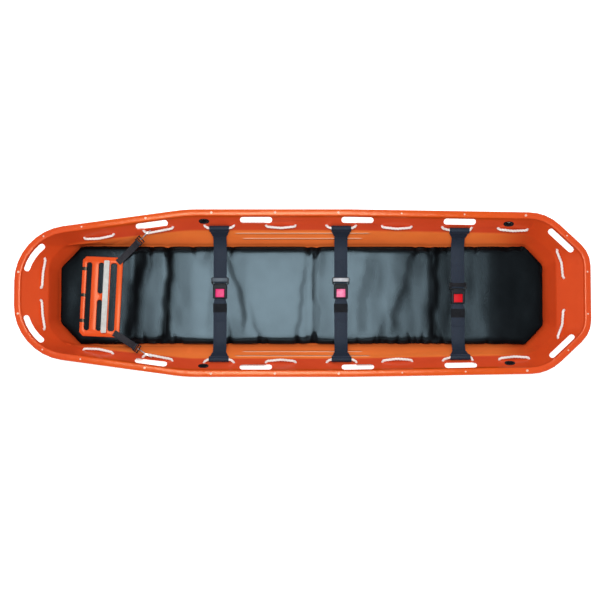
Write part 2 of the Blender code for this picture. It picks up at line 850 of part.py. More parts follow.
def box(bm, low, high):
    outline = [(low[0], low[1]), (high[0], low[1]), (high[0], high[1]), (low[0], high[1])]
    prism(bm, outline, low[2], high[2])


def finished(name, bm, mat, adds=None, cuts=None):
    """An object with what is added to it and then what is cut from it."""
    obj = add_object(name, bm, mat)
    if adds:
        boolean(obj, add_helper(name + "_adds", adds), "UNION")
    if cuts:
        boolean(obj, add_helper(name + "_cuts", cuts), "DIFFERENCE")
    return obj


def oval(length, width, steps=3):
    """Outline of an oval with straight sides, along X, round the origin."""
    half = (length - width) / 2
    ends = [np.array((-half, 0.0)), np.array((half, 0.0))]
    along = np.array((1.0, 0.0))
    return slot_outline(ends, [along, along], width, round_steps=steps)


def ribbon(bm, path, widths, thickness, place):
    """A flat strip along a path of (run, height) pairs; place maps (across, run, height) to a point."""
    path = [np.asarray(p, float) for p in path]
    sections = []
    for i, here in enumerate(path):
        d_in = unit(here - path[i - 1]) if i else unit(path[1] - here)
        d_out = unit(path[i + 1] - here) if i < len(path) - 1 else d_in
        middle = unit(d_in + d_out)
        normal = np.array((-middle[1], middle[0])) / max(middle @ d_in, 0.4)
        low, high = here - normal * thickness / 2, here + normal * thickness / 2
        w = widths[i] / 2
        corners = ((-w, *low), (w, *low), (w, *high), (-w, *high))
        sections.append([place(*c) for c in corners])
    skin_tube(bm, sections, False)


def arc(centre, radius, start, end, steps):
    """Points on an arc in degrees, both ends included."""
    angles = np.radians(np.linspace(start, end, steps + 1))
    return [np.array((centre[0] + radius * math.cos(a), centre[1] + radius * math.sin(a))) for a in angles]


def rope_eye(eye, way, radius, fold, steps=8):
    """The end of a belt: out along the way, round what is at eye, and back to lie on itself."""
    normal = np.array((-way[1], way[0]))
    heading = math.degrees(math.atan2(way[1], way[0]))
    path = [eye - normal * radius - way * fold]
    path += arc(eye, radius, heading - 90, heading + 90, steps)
    folded = -radius + BELT_THICKNESS + 0.5 * MM
    path.append(eye + normal * radius * 0.35 - way * radius * 1.7)
    path.append(eye + normal * folded - way * radius * 3)
    path.append(eye + normal * folded - way * fold)
    return path


def belt_eye(band, x, side):
    """The rope's middle in a belt's loop, as (distance from the middle line, height)."""
    s = band.find(0, x, lambda p: p[1] * side > 0)
    point = band.point(s) + band.normal(s) * BELT_PULL
    return np.array((abs(point[1]), point[2]))


def make_belt(number, x, band, looks):
    web = looks["webbing"]
    tag = f"_{number}"
    deck = PAD_TOP
    shift = BELT_SHIFT[number - 1]
    before = set(bpy.data.objects)

    def up(across, run, height):
        return (x + across, run, height)

    def down(across, run, height):
        return (x + across, -run, height)

    pad_edge = PAD_WIDTH / 2 - 4 * MM
    wide = [BELT_LOOP_WIDTH] * 9
    flare = [BELT_WIDTH, *wide, BELT_LOOP_WIDTH, BELT_LOOP_WIDTH - 6 * MM, BELT_WIDTH + 4 * MM]
    for side, place in ((1, up), (-1, down)):
        eye = belt_eye(band, x, side)
        start = np.array((pad_edge, LOWER_LAYER))
        way = unit(eye - start + np.array((0, -ROPE_EYE)))
        rest = [start - np.array((14 * MM, 0)), start + way * 12 * MM]
        if side > 0:
            top = deck + TONGUE_RAISE + TONGUE_THICKNESS + FIT_GAP + BELT_THICKNESS / 2
            bend = TONGUE_THICKNESS / 2 + FIT_GAP + BELT_THICKNESS / 2
            inner = TONGUE_MOUTH + 9 * MM
            crossbar = (inner, deck + TONGUE_RAISE + TONGUE_THICKNESS / 2)
            path = [
                (BELT_TAIL_UP, UPPER_LAYER),
                (TONGUE_END + 15 * MM, UPPER_LAYER),
                (TONGUE_END + 1.5 * MM, top),
                *arc(crossbar, bend, 90, 270, 4),
                (inner + 5 * MM, crossbar[1] - bend),
                (TONGUE_END + 1 * MM, LOWER_LAYER + 1 * MM),
                (TONGUE_END + 15 * MM, LOWER_LAYER),
            ]
            widths = [BELT_WIDTH, BELT_WIDTH, *[BELT_NARROW + 5 * MM] * 7, BELT_WIDTH, BELT_WIDTH]
        else:
            lip = BASE_THICKNESS / 2 + FIT_GAP + BELT_THICKNESS / 2
            bar = (-BUCKLE_BACK - 6 * MM, deck + BASE_RAISE + BASE_THICKNESS / 2)
            path = [
                (BELT_TAIL_DOWN, UPPER_LAYER),
                (KEEPER_START - 2 * MM, UPPER_LAYER),
                (-BUCKLE_BACK + 4 * MM, deck + BASE_RAISE + BASE_THICKNESS + 1.2 * MM),
                (bar[0] + 4 * MM, bar[1] + lip),
                *arc(bar, lip, 90, 270, 4),
                (bar[0] + 5 * MM, bar[1] - lip),
                (KEEPER_START - 2 * MM, LOWER_LAYER),
            ]
            widths = [BELT_WIDTH, BELT_WIDTH, *[BELT_NARROW] * 8, BELT_WIDTH]
        path = [(run + side * shift, height) for run, height in path]
        path += [rest[0], rest[1], *rope_eye(eye, way, ROPE_EYE, BELT_FOLD)]
        widths += [BELT_WIDTH, BELT_WIDTH, *flare]
        bm = bmesh.new()
        ribbon(bm, path, widths, BELT_THICKNESS, place)
        before.add(add_object(("belt_upper" if side > 0 else "belt_lower") + tag, bm, web))

    band_low, band_high = deck + FIT_GAP, UPPER_LAYER + BELT_THICKNESS / 2 + FIT_GAP + KEEPER_WALL
    keeper_half = BELT_WIDTH / 2 + FIT_GAP + KEEPER_WALL
    bm = bmesh.new()
    box(
        bm,
        (x - keeper_half, -KEEPER_START - KEEPER_WIDTH, band_low),
        (x + keeper_half, -KEEPER_START, band_high),
    )
    hole = bmesh.new()
    box(
        hole,
        (x - keeper_half + KEEPER_WALL, -KEEPER_START - 2 * KEEPER_WIDTH, band_low + KEEPER_WALL),
        (x + keeper_half - KEEPER_WALL, KEEPER_START, band_high - KEEPER_WALL),
    )
    finished("belt_keeper" + tag, bm, looks["webbing"], cuts=hole)
    make_tongue(tag, x, deck, looks)
    make_buckle(tag, x, deck, looks)
    for piece in set(bpy.data.objects) - before:
        piece.data.transform(Matrix.Translation((0, shift, 0)))


def make_tongue(tag, x, deck, looks):
    low = deck + TONGUE_RAISE
    high = low + TONGUE_THICKNESS
    half, blade = TONGUE_WIDTH / 2, BLADE_WIDTH / 2
    tip = TONGUE_MOUTH - BLADE_DEPTH
    outline = [
        (-blade + 4 * MM, tip), (blade - 4 * MM, tip), (blade, tip + 6 * MM), (blade, TONGUE_MOUTH + 1 * MM),
        (half - 3 * MM, TONGUE_MOUTH + 1 * MM), (half, TONGUE_MOUTH + 4 * MM), (half, TONGUE_END - 3 * MM),
        (half - 3 * MM, TONGUE_END), (3 * MM - half, TONGUE_END), (-half, TONGUE_END - 3 * MM),
        (-half, TONGUE_MOUTH + 4 * MM), (3 * MM - half, TONGUE_MOUTH + 1 * MM),
        (-blade, TONGUE_MOUTH + 1 * MM), (-blade, tip + 6 * MM),
    ]
    bm = bmesh.new()
    prism(bm, [(x + a, b) for a, b in outline], low, high)
    adds, cuts = bmesh.new(), bmesh.new()
    bar_low = high + 2 * FIT_GAP + BELT_THICKNESS
    bar_z = bar_low + BAR_HEIGHT / 2
    flange = 2.5 * MM
    bar_y = TONGUE_END - 10 * MM
    for side in (-1, 1):
        edges = sorted((x + side * (half - flange), x + side * half))
        box(
            adds,
            (edges[0], TONGUE_MOUTH + 4 * MM, high - 1 * MM),
            (edges[1], TONGUE_END - 3 * MM, bar_z + 4 * MM),
        )
        slot = oval(3.6 * MM + BAR_TRAVEL, 3.6 * MM, 4)
        ring = [(bar_y - BAR_TRAVEL / 2 + a, bar_z + b) for a, b in slot]
        side_prism(cuts, ring, edges[0] - 1 * MM, edges[1] + 1 * MM)
    slot_low, slot_high = TONGUE_MOUTH + 4 * MM, TONGUE_MOUTH + 9 * MM
    box(cuts, (x - half + 5 * MM, slot_low, low - 1 * MM), (x + half - 5 * MM, slot_high, high + 1 * MM))
    window = BLADE_WIDTH / 4
    box(cuts, (x - window, tip + 5 * MM, low - 1 * MM), (x + window, tip + 14 * MM, high + 1 * MM))
    finished("tongue" + tag, bm, looks["black_steel"], adds, cuts)

    profile = []
    step = BAR_DEPTH / BAR_TEETH
    for k in range(BAR_TEETH):
        start = bar_y - BAR_DEPTH / 2 + k * step
        profile.append((start, bar_z + BAR_HEIGHT / 2 - 1 * MM))
        profile.append((start + step / 2, bar_z + BAR_HEIGHT / 2))
    profile.append((bar_y + BAR_DEPTH / 2, bar_z + BAR_HEIGHT / 2 - 1 * MM))
    profile.append((bar_y + BAR_DEPTH / 2, bar_low + 1 * MM))
    profile.append((bar_y + BAR_DEPTH / 2 - 2 * MM, bar_low))
    profile.append((bar_y - BAR_DEPTH / 2 + 2 * MM, bar_low))
    profile.append((bar_y - BAR_DEPTH / 2, bar_low + 1 * MM))
    bm = bmesh.new()
    reach = half - flange - 1 * MM
    side_prism(bm, profile, x - reach, x + reach)
    pins = bmesh.new()
    pin_half = half - 0.5 * MM
    cylinder_between(pins, (x - pin_half, bar_y, bar_z), (x + pin_half, bar_y, bar_z), 1.3 * MM, 8)
    finished("slide_bar" + tag, bm, looks["chrome"], adds=pins)


def side_prism(bm, outline, left, right):
    """A prism along X with a (Y, Z) outline."""
    loops = [[bm.verts.new((x, y, z)) for y, z in outline] for x in (left, right)]
    skin_prism(bm, loops)


def make_buckle(tag, x, deck, looks):
    half = BUCKLE_WIDTH / 2
    back, mouth = BUCKLE_BACK, TONGUE_MOUTH
    top = deck + BUCKLE_HEIGHT
    tray_top = deck + 1.8 * MM
    base_low, base_high = deck + BASE_RAISE, deck + BASE_RAISE + BASE_THICKNESS
    base_half = half - COVER_WALL - 0.5 * MM
    blade_high = deck + TONGUE_RAISE + TONGUE_THICKNESS
    button_low = blade_high + BUTTON_TRAVEL + 0.6 * MM
    flange_high = button_low + 1.8 * MM
    stirrup = BLADE_WIDTH / 2 + 0.7 * MM
    leg = 1.6 * MM
    stirrup_y = (BUTTON_MIDDLE + 4 * MM, BUTTON_MIDDLE + 14 * MM)

    bm = bmesh.new()
    soft = [(-half, back + 4 * MM), (-half + 4 * MM, back), (half - 4 * MM, back), (half, back + 4 * MM),
            (half, mouth - 4 * MM), (half - 4 * MM, mouth), (-half + 4 * MM, mouth), (-half, mouth - 4 * MM)]
    prism(bm, [(x + a, b) for a, b in soft], deck + FIT_GAP, tray_top)
    rails = bmesh.new()
    for side in (-1, 1):
        edges = sorted((x + side * (stirrup + leg + 1 * MM), x + side * base_half))
        box(
            rails,
            (edges[0], back + 5 * MM, tray_top - 1 * MM),
            (edges[1], mouth - 5 * MM, base_low - FIT_GAP),
        )
    finished("buckle_back" + tag, bm, looks["black_plastic"], adds=rails)

    bm = bmesh.new()
    chamfer = 1.5 * MM
    outer = [(x + a, b) for a, b in soft]
    middle = np.mean(outer, axis=0)
    smaller = [middle + (np.array(p) - middle) * (1 - chamfer / half) for p in outer]
    levels = ((outer, tray_top + FIT_GAP), (outer, top - chamfer), (smaller, top))
    skin_prism(bm, [[bm.verts.new((*p, level)) for p in outline] for outline, level in levels])
    cuts = bmesh.new()
    box(
        cuts,
        (x - half + COVER_WALL, back + COVER_WALL, deck),
        (x + half - COVER_WALL, mouth - COVER_WALL, flange_high + FIT_GAP),
    )
    window = bmesh.new()
    gap = 0.4 * MM
    box(
        window,
        (x - BUTTON_WIDTH / 2 - gap, BUTTON_MIDDLE - BUTTON_LENGTH / 2 - gap, flange_high - 1 * MM),
        (x + BUTTON_WIDTH / 2 + gap, BUTTON_MIDDLE + BUTTON_LENGTH / 2 + gap, top + 2 * MM),
    )
    box(window, (x - BLADE_WIDTH / 2 - gap, mouth - 5 * MM, deck + TONGUE_RAISE - gap),
        (x + BLADE_WIDTH / 2 + gap, mouth + 5 * MM, blade_high + gap))
    box(
        window,
        (x - BELT_NARROW / 2 - 2 * gap, back - 5 * MM, deck),
        (x + BELT_NARROW / 2 + 2 * gap, back + 5 * MM, deck + 12 * MM),
    )
    cover = finished("buckle_cover" + tag, bm, looks["black_plastic"], cuts=cuts)
    boolean(cover, add_helper("buckle_cover_windows" + tag, window), "DIFFERENCE")

    bm = bmesh.new()
    box(
        bm,
        (x - base_half, back + COVER_WALL + gap, base_low),
        (x + base_half, mouth - COVER_WALL - gap, base_high),
    )
    flanges, cuts = bmesh.new(), bmesh.new()
    for side in (-1, 1):
        edges = sorted((x + side * (base_half - 1.8 * MM), x + side * base_half))
        box(
            flanges,
            (edges[0], back + 12 * MM, base_high - 1 * MM),
            (edges[1], mouth - 5 * MM, blade_high + 1 * MM),
        )
    box(cuts, (x - BELT_NARROW / 2 - gap, back + 6 * MM, base_low - 1 * MM),
        (x + BELT_NARROW / 2 + gap, back + 11 * MM, base_high + 1 * MM))
    box(cuts, (x - stirrup - leg - gap, stirrup_y[0] - gap, base_low - 1 * MM),
        (x + stirrup + leg + gap, stirrup_y[1] + gap, base_high + 1 * MM))
    finished("buckle_base" + tag, bm, looks["steel"], adds=flanges, cuts=cuts)

    bm = bmesh.new()
    box(bm, (x - stirrup - leg, stirrup_y[0], base_low), (x + stirrup + leg, stirrup_y[1], base_high))
    legs = bmesh.new()
    for side in (-1, 1):
        edges = sorted((x + side * stirrup, x + side * (stirrup + leg)))
        box(
            legs,
            (edges[0], stirrup_y[0], base_high - 1 * MM),
            (edges[1], stirrup_y[1], button_low - FIT_GAP),
        )
    finished("latch_plate" + tag, bm, looks["steel"], adds=legs)

    bm = bmesh.new()
    box(
        bm,
        (x - BUTTON_WIDTH / 2, BUTTON_MIDDLE - BUTTON_LENGTH / 2, button_low),
        (x + BUTTON_WIDTH / 2, BUTTON_MIDDLE + BUTTON_LENGTH / 2, top + 1 * MM),
    )
    bevelled(bm, 0.8 * MM, lambda edge: all(v.co.z > top for v in edge.verts))
    lip = bmesh.new()
    box(
        lip,
        (x - stirrup - leg, BUTTON_MIDDLE - BUTTON_LENGTH / 2 - 1.5 * MM, button_low),
        (x + stirrup + leg, BUTTON_MIDDLE + BUTTON_LENGTH / 2 + 1 * MM, flange_high),
    )
    finished("button" + tag, bm, looks["red"], adds=lip)

    bm = bmesh.new()
    low = tray_top + FIT_GAP + SPRING_WIRE / 2
    high = base_low - FIT_GAP - SPRING_WIRE / 2
    steps = int(SPRING_TURNS * 8)
    route = []
    for k in range(steps + 1):
        a = 2 * math.pi * SPRING_TURNS * k / steps
        route.append((
            x + SPRING_RADIUS * math.cos(a),
            sum(stirrup_y) / 2 + SPRING_RADIUS * math.sin(a),
            low + (high - low) * k / steps,
        ))
    skin_tube(bm, tube_rings(route, SPRING_WIRE / 2, 5, False), False)
    add_object("button_spring" + tag, bm, looks["steel"])


def bevelled(bm, size, pick):
    edges = [e for e in bm.edges if pick(e)]
    bmesh.ops.bevel(bm, geom=edges, offset=size, segments=1, affect="EDGES")


def placed(outline, place, along):
    """A plan outline moved to a place, with its X along a direction."""
    across = np.array((-along[1], along[0]))
    return [place + along * p[0] + across * p[1] for p in outline]


def eyelet_spots(rings):
    """Place, direction along, direction up the wall and normal for each lifting hole."""
    top, foot = rings[WALL_TOP_RING], rings[WALL_FOOT_RING]
    spots = []
    for side in (1, -1):
        for share in EYELET_AT:
            ends = []
            for ring in (top, foot):
                flat, way = outline_at(ring[:, :2], station_x(share))
                ends.append(np.array((flat[0], flat[1] * side, ring[0][2])))
            along = unit((-way[0], -way[1] * side, 0)) * side
            rise = unit(ends[0] - ends[1])
            rise = unit(rise - along * (rise @ along))
            normal = np.cross(along, rise)
            spots.append((ends[0] + (ends[1] - ends[0]) * EYELET_DOWN, along, rise, normal))
    return spots


def at_spot(spot, along, rise, out):
    return spot[0] + spot[1] * along + spot[2] * rise + spot[3] * out


def spot_prism(bm, spot, outline, low, high):
    """A prism that stands on the wall at a spot, with its outline in the wall's plane."""
    loops = [[bm.verts.new(at_spot(spot, p[0], p[1], out)) for p in outline] for out in (low, high)]
    skin_prism(bm, loops)


def make_eyelets(rings, looks):
    liner_wall = 1.7 * MM
    for number, spot in enumerate(eyelet_spots(rings), 1):
        bm, liner, hole = bmesh.new(), bmesh.new(), bmesh.new()
        spot_prism(bm, spot, oval(EYELET_LENGTH, EYELET_WIDTH, 6), FIT_GAP, 1.6 * MM)
        outer = oval(EYELET_HOLE_LENGTH + 2 * liner_wall, EYELET_HOLE_WIDTH + 2 * liner_wall, 6)
        spot_prism(liner, spot, outer, -EYELET_DEPTH, 1 * MM)
        inner = oval(EYELET_HOLE_LENGTH, EYELET_HOLE_WIDTH, 6)
        spot_prism(hole, spot, inner, -2 * EYELET_DEPTH, EYELET_DEPTH)
        finished(f"lift_eyelet_{number}", bm, looks["steel"], adds=liner, cuts=hole)

        under = -SHELL_WALL - FIT_GAP - GUARD_THICKNESS / 2
        bottom = under - GUARD_DROP
        run = EYELET_HOLE_LENGTH / 2 + liner_wall + 3 * MM + GUARD_THICKNESS / 2
        foot = run + GUARD_FOOT
        side = [
            (run + 3 * MM, under),
            (run, under - 3 * MM),
            (run - 1 * MM, bottom + 3 * MM),
            (run - 4 * MM, bottom),
        ]
        path = [(-foot, under)] + [(-a, b) for a, b in side] + side[::-1] + [(foot, under)]
        bm = bmesh.new()
        ribbon(
            bm, path, [GUARD_WIDTH] * len(path), GUARD_THICKNESS,
            lambda across, run_at, out: at_spot(spot, run_at, across, out),
        )
        add_object(f"lift_guard_{number}", bm, looks["black_steel"])


def pad_half_width(x):
    foot, head = FLOOR_IN_FOOT + PAD_END_GAP - HALF_LENGTH, HALF_LENGTH - FLOOR_IN_HEAD - PAD_END_GAP
    half = PAD_WIDTH / 2
    return min(half, half - FLOOR_CUT + x - foot, half - FLOOR_HEAD_CUT + head - x)


def pad_columns():
    foot, head = FLOOR_IN_FOOT + PAD_END_GAP - HALF_LENGTH, HALF_LENGTH - FLOOR_IN_HEAD - PAD_END_GAP
    steps = (0, 4 * MM, 14 * MM, 30 * MM)
    columns = [foot + s for s in steps] + [head - s for s in steps]
    columns += [foot + FLOOR_CUT, head - FLOOR_HEAD_CUT]
    for share in PAD_FOLDS:
        columns += [station_x(share) + d for d in (-10 * MM, 0, 10 * MM)]
    columns = sorted(columns)
    filled = [columns[0]]
    for x in columns[1:]:
        parts = max(1, math.ceil((x - filled[-1]) / (150 * MM)))
        start = filled[-1]
        filled += [start + (x - start) * k / parts for k in range(1, parts + 1)]
    return filled


def make_pad(vinyl):
    columns = pad_columns()
    seam = FLOOR_Z + FIT_GAP + PAD_SEAM
    slant = math.sqrt(0.5)
    folds = [station_x(share) for share in PAD_FOLDS]
    bm = bmesh.new()
    top, bottom = [], []
    for x in columns:
        w = pad_half_width(x)
        half = [w, w - 4 * MM, w - 14 * MM, w - 32 * MM, w / 2]
        rows = half + [0.0] + [-y for y in half[::-1]]
        upper, lower = [], []
        for y in rows:
            to_side = PAD_WIDTH / 2 - abs(y)
            to_cut = (w - abs(y)) * (slant if w < PAD_WIDTH / 2 - 1 * MM else 1)
            d = max(0.0, min(to_side, to_cut, x - columns[0], columns[-1] - x))
            swell = math.sqrt(1 - (1 - min(d / PAD_ROUND, 1)) ** 2)
            belly = math.sqrt(1 - (1 - min(d / PAD_SEAM, 1)) ** 2)
            crown = PAD_CROWN * (abs(y) / (PAD_WIDTH / 2)) ** 2
            dip = max([0.0] + [PAD_FOLD_DEPTH * (1 - abs(x - f) / (10 * MM)) for f in folds])
            high = seam + (PAD_TOP - seam - crown - dip) * swell
            vert = bm.verts.new((x, y, high))
            upper.append(vert)
            edge = d < 1e-6
            lower.append(vert if edge else bm.verts.new((x, y, seam - PAD_SEAM * belly)))
        top.append(upper)
        bottom.append(lower)
    for sheet, flip in ((top, False), (bottom, True)):
        for left, right in zip(sheet, sheet[1:]):
            for k in range(len(left) - 1):
                face = [left[k], left[k + 1], right[k + 1], right[k]]
                bm.faces.new(face[::-1] if flip else face)
    add_object("pad", bm, vinyl, smooth_angle=80.0)


def rest_frame():
    """Centre and unit directions of the foot rest in plan."""
    a = math.radians(REST_TURN)
    along = np.array((math.cos(a), math.sin(a)))
    return np.array((REST_AT - HALF_LENGTH, REST_OFFSET)), along


def rest_box(bm, low_x, high_x, low_y, high_y, low, high, cut=0.0):
    """A box in the foot rest's own plan axes, with its upright corners cut."""
    centre, along = rest_frame()
    c = cut
    outline = [(low_x + c, low_y), (high_x - c, low_y), (high_x, low_y + c), (high_x, high_y - c),
               (high_x - c, high_y), (low_x + c, high_y), (low_x, high_y - c), (low_x, low_y + c)]
    if cut == 0:
        outline = [(low_x, low_y), (high_x, low_y), (high_x, high_y), (low_x, high_y)]
    prism(bm, placed(outline, centre, along), low, high)


def make_foot_rest(band, looks):
    low = PAD_TOP + FIT_GAP
    high = low + REST_THICKNESS
    edges = [e * MM for e in REST_BARS]
    reach = REST_LENGTH / 2
    bm = bmesh.new()
    rest_box(bm, edges[0], edges[7], -reach, reach, low, high, cut=14 * MM)
    rib = bmesh.new()
    inner = reach - 14 * MM
    rib_span = (edges[4] + 4 * MM, edges[5] - 4 * MM, -inner, inner)
    rest_box(rib, *rib_span, high - 2 * MM, high + REST_RIB_HEIGHT)
    cuts = bmesh.new()
    stop = reach - REST_END
    for left, right, spans in (
        (edges[1], edges[2], ((-stop, stop),)),
        (edges[3], edges[4], ((-stop, -REST_BRIDGE), (REST_BRIDGE, stop))),
        (edges[5], edges[6], ((-stop, stop),)),
    ):
        for start, end in spans:
            rest_box(cuts, left, right, start, end, low - 5 * MM, high + 5 * MM, cut=6 * MM)
    finished("foot_rest_frame", bm, looks["orange"], adds=rib, cuts=cuts)
    bm = bmesh.new()
    top = high + REST_RIB_HEIGHT + FIT_GAP
    pad_span = (edges[4] + 2 * MM, edges[5] - 2 * MM, -inner, inner)
    rest_box(bm, *pad_span, top, top + 3 * MM, cut=3 * MM)
    add_object("foot_rest_pad", bm, looks["pale"])
    centre, along = rest_frame()
    for name, side, s in zip(("left", "right"), (1, -1), hook_distances(band)):
        corner = placed([(STRAP_CORNER, side * (reach - STRAP_CORNER_IN))], centre, along)[0]
        make_rest_strap(name, corner, high + FIT_GAP + STRAP_THICKNESS / 2, band, s, looks)


def make_rest_strap(name, corner, level, band, s, looks):
    """Strap, adjuster and hook in one upright plane from the foot rest's corner to the rope."""
    hold = rope_at_hook(band, s)
    ahead = unit(hold[:2] - corner)
    across = np.array((-ahead[1], ahead[0]))
    far = np.array((np.linalg.norm(hold[:2] - corner), hold[2]))
    rope_way = unit((band.point(s + 5 * MM) - band.point(s - 5 * MM))[:2])
    crossing = abs(ahead[0] * rope_way[1] - ahead[1] * rope_way[0])
    grip = ROPE_DIAMETER / 2 + HOOK_PLAY + HOOK_WIRE / 2
    long_way, high_way = (grip + HOOK_SLANT_PLAY) / crossing, grip

    def placing(across_at, run, height):
        plan = corner + ahead * run + across * across_at
        return (plan[0], plan[1], height)

    lift = np.array((STRAP_FLAT, level))
    near_end = far - np.array((long_way, 0))
    way = unit(near_end - lift)
    normal = np.array((-way[1], way[0]))
    eye = near_end - way * HOOK_SHANK
    low_bar = eye - way * (ADJUSTER_LENGTH - ADJUSTER_BAR)

    path = [(-STRAP_FLAT, level), tuple(lift)]
    path += rope_eye(low_bar, way, ADJUSTER_EYE, STRAP_FOLD)
    bm = bmesh.new()
    ribbon(bm, path, [STRAP_WIDTH] * len(path), STRAP_THICKNESS, placing)
    add_object(f"foot_strap_{name}", bm, looks["webbing"])

    bm, holes = bmesh.new(), bmesh.new()
    half, thick = ADJUSTER_WIDTH / 2, ADJUSTER_THICKNESS / 2
    start = -ADJUSTER_BAR / 2
    pitch = (ADJUSTER_LENGTH - ADJUSTER_BAR) / 2
    slanted_box(bm, placing, low_bar, way, (-half, start, -thick), (half, start + ADJUSTER_LENGTH, thick))
    for k in (0, 1):
        slanted_box(
            holes, placing, low_bar, way,
            (3 * MM - half, k * pitch + ADJUSTER_BAR / 2, -3 * thick),
            (half - 3 * MM, (k + 1) * pitch - ADJUSTER_BAR / 2, 3 * thick),
        )
    finished(f"foot_adjuster_{name}", bm, looks["steel"], cuts=holes)

    turn = math.atan2(way[1], way[0])
    turns = [turn + a for a in np.radians(range(60, 331, 30))]
    wire = [eye + HOOK_EYE * np.array((math.cos(a), math.sin(a))) for a in turns]
    wire.append(eye + way * HOOK_EYE * 2)
    for a in np.radians(range(180, 511, 30)):
        wire.append(far + np.array((long_way * math.cos(a), high_way * math.sin(a))))
    route = [placing(0, *p) for p in wire]
    bm = bmesh.new()
    skin_tube(bm, tube_rings(route, HOOK_WIRE / 2, 6, False, (*across, 0)), False)
    add_object(f"foot_hook_{name}", bm, looks["steel"])


def slanted_box(bm, placing, origin, way, low, high):
    """A box in (across, along, up) axes that lean with a way in an upright plane."""
    normal = np.array((-way[1], way[0]))
    loops = []
    for up in (low[2], high[2]):
        loop = []
        for a, t in ((low[0], low[1]), (high[0], low[1]), (high[0], high[1]), (low[0], high[1])):
            at = origin + way * t + normal * up
            loop.append(bm.verts.new(placing(a, at[0], at[1])))
        loops.append(loop)
    skin_prism(bm, loops)


def main():
    for old in list(bpy.data.objects):
        bpy.data.objects.remove(old, do_unlink=True)
    orange = material("orange_polyethylene", (0.82, 0.14, 0.025), 0.22)
    aluminium = material("aluminium_tube", (0.62, 0.63, 0.65), 0.35, 1.0)
    rope_white = material("white_rope", (0.82, 0.80, 0.76), 0.8)

    rings = shell_rings()
    band = RopeBand(rings)
    make_shell(rings, band, orange)
    make_frame_tubes(aluminium)
    make_rope(band, rope_white)

    looks = {
        "webbing": material("black_webbing", (0.02, 0.025, 0.04), 0.7),
        "black_steel": material("black_coated_steel", (0.03, 0.03, 0.035), 0.4, 0.6),
        "black_plastic": material("black_plastic", (0.02, 0.02, 0.022), 0.35),
        "chrome": material("chromed_steel", (0.75, 0.76, 0.78), 0.2, 1.0),
        "steel": material("zinc_plated_steel", (0.55, 0.56, 0.58), 0.35, 1.0),
        "red": material("red_plastic", (0.7, 0.02, 0.06), 0.3),
        "vinyl": material("black_vinyl", (0.015, 0.016, 0.018), 0.35),
        "orange": orange,
        "pale": material("pale_grip_strip", (0.75, 0.76, 0.82), 0.5),
    }
    for number, share in enumerate(BELT_AT, 1):
        make_belt(number, station_x(share), band, looks)
    make_eyelets(rings, looks)
    make_pad(looks["vinyl"])
    make_foot_rest(band, looks)


main()
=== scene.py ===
# Basket stretcher seen from above: moulded tub, laced rope, pad, three belts and a foot rest
import math

import bpy
import numpy as np
from mathutils import Matrix, Vector
from mathutils.bvhtree import BVHTree


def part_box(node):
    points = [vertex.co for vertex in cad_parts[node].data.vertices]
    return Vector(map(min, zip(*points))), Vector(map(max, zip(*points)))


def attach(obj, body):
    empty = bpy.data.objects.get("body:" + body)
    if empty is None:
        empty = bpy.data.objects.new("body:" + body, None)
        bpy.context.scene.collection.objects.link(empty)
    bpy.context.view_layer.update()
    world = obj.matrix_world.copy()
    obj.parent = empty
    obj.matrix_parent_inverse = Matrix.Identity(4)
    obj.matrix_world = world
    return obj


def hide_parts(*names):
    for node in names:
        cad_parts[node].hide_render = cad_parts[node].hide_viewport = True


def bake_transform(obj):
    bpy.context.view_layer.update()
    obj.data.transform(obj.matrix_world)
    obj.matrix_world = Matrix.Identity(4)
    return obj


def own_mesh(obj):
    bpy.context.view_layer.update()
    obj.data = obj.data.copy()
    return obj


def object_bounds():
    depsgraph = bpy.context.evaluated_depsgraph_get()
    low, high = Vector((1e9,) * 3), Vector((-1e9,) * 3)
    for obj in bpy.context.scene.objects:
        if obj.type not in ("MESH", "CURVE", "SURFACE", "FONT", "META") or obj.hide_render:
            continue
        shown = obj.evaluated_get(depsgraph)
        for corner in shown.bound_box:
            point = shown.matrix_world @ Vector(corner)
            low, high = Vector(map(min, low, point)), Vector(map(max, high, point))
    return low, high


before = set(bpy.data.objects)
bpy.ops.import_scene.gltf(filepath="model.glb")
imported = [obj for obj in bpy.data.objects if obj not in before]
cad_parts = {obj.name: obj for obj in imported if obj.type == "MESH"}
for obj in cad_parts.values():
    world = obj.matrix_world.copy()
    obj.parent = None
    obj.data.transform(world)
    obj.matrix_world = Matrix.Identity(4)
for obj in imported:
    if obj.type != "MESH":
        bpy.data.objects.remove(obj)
cadLow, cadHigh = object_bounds()
print("frame loaded, nodes:", len(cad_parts))


# ---- camera, floor and lamps

cameraSet = {
    "place": (-0.0093, -0.36, 5.65),
    "aim": (-0.0093, -0.026, 0.17),
    "viewWidth": 2.246,  # what the picture's width covers at the rim
    "rimHeight": 0.17,
    "sensor": 36,
    "reach": 60,
}

lampSet = {
    # place, width, depth, watts
    "sideLeft": ((-2.3, 2.8, 3.2), 2.2, 2.2, 26),
    "sideRight": ((2.4, 2.5, 3.2), 2.0, 2.0, 16),
    "front": ((0.1, -3.3, 3.0), 2.4, 2.0, 31),
    "overPad": ((-0.20, 0.42, 7.0), 1.96, 1.9, 370),
    "stripBack": ((-0.05, 1.25, 3.0), 0.8, 0.06, 4.5),
    "stripFront": ((-0.05, -1.55, 3.0), 0.8, 0.06, 4.5),
}
aimSet = {"share": 0.4, "height": 0.1}  # a lamp looks at this share of its own x, on the middle line
skySet = {"strength": 0.2}
floorSet = {"size": 14, "level": -0.001, "pale": 0.93, "roughness": 0.9, "shine": 0.1, "glow": 0.72}


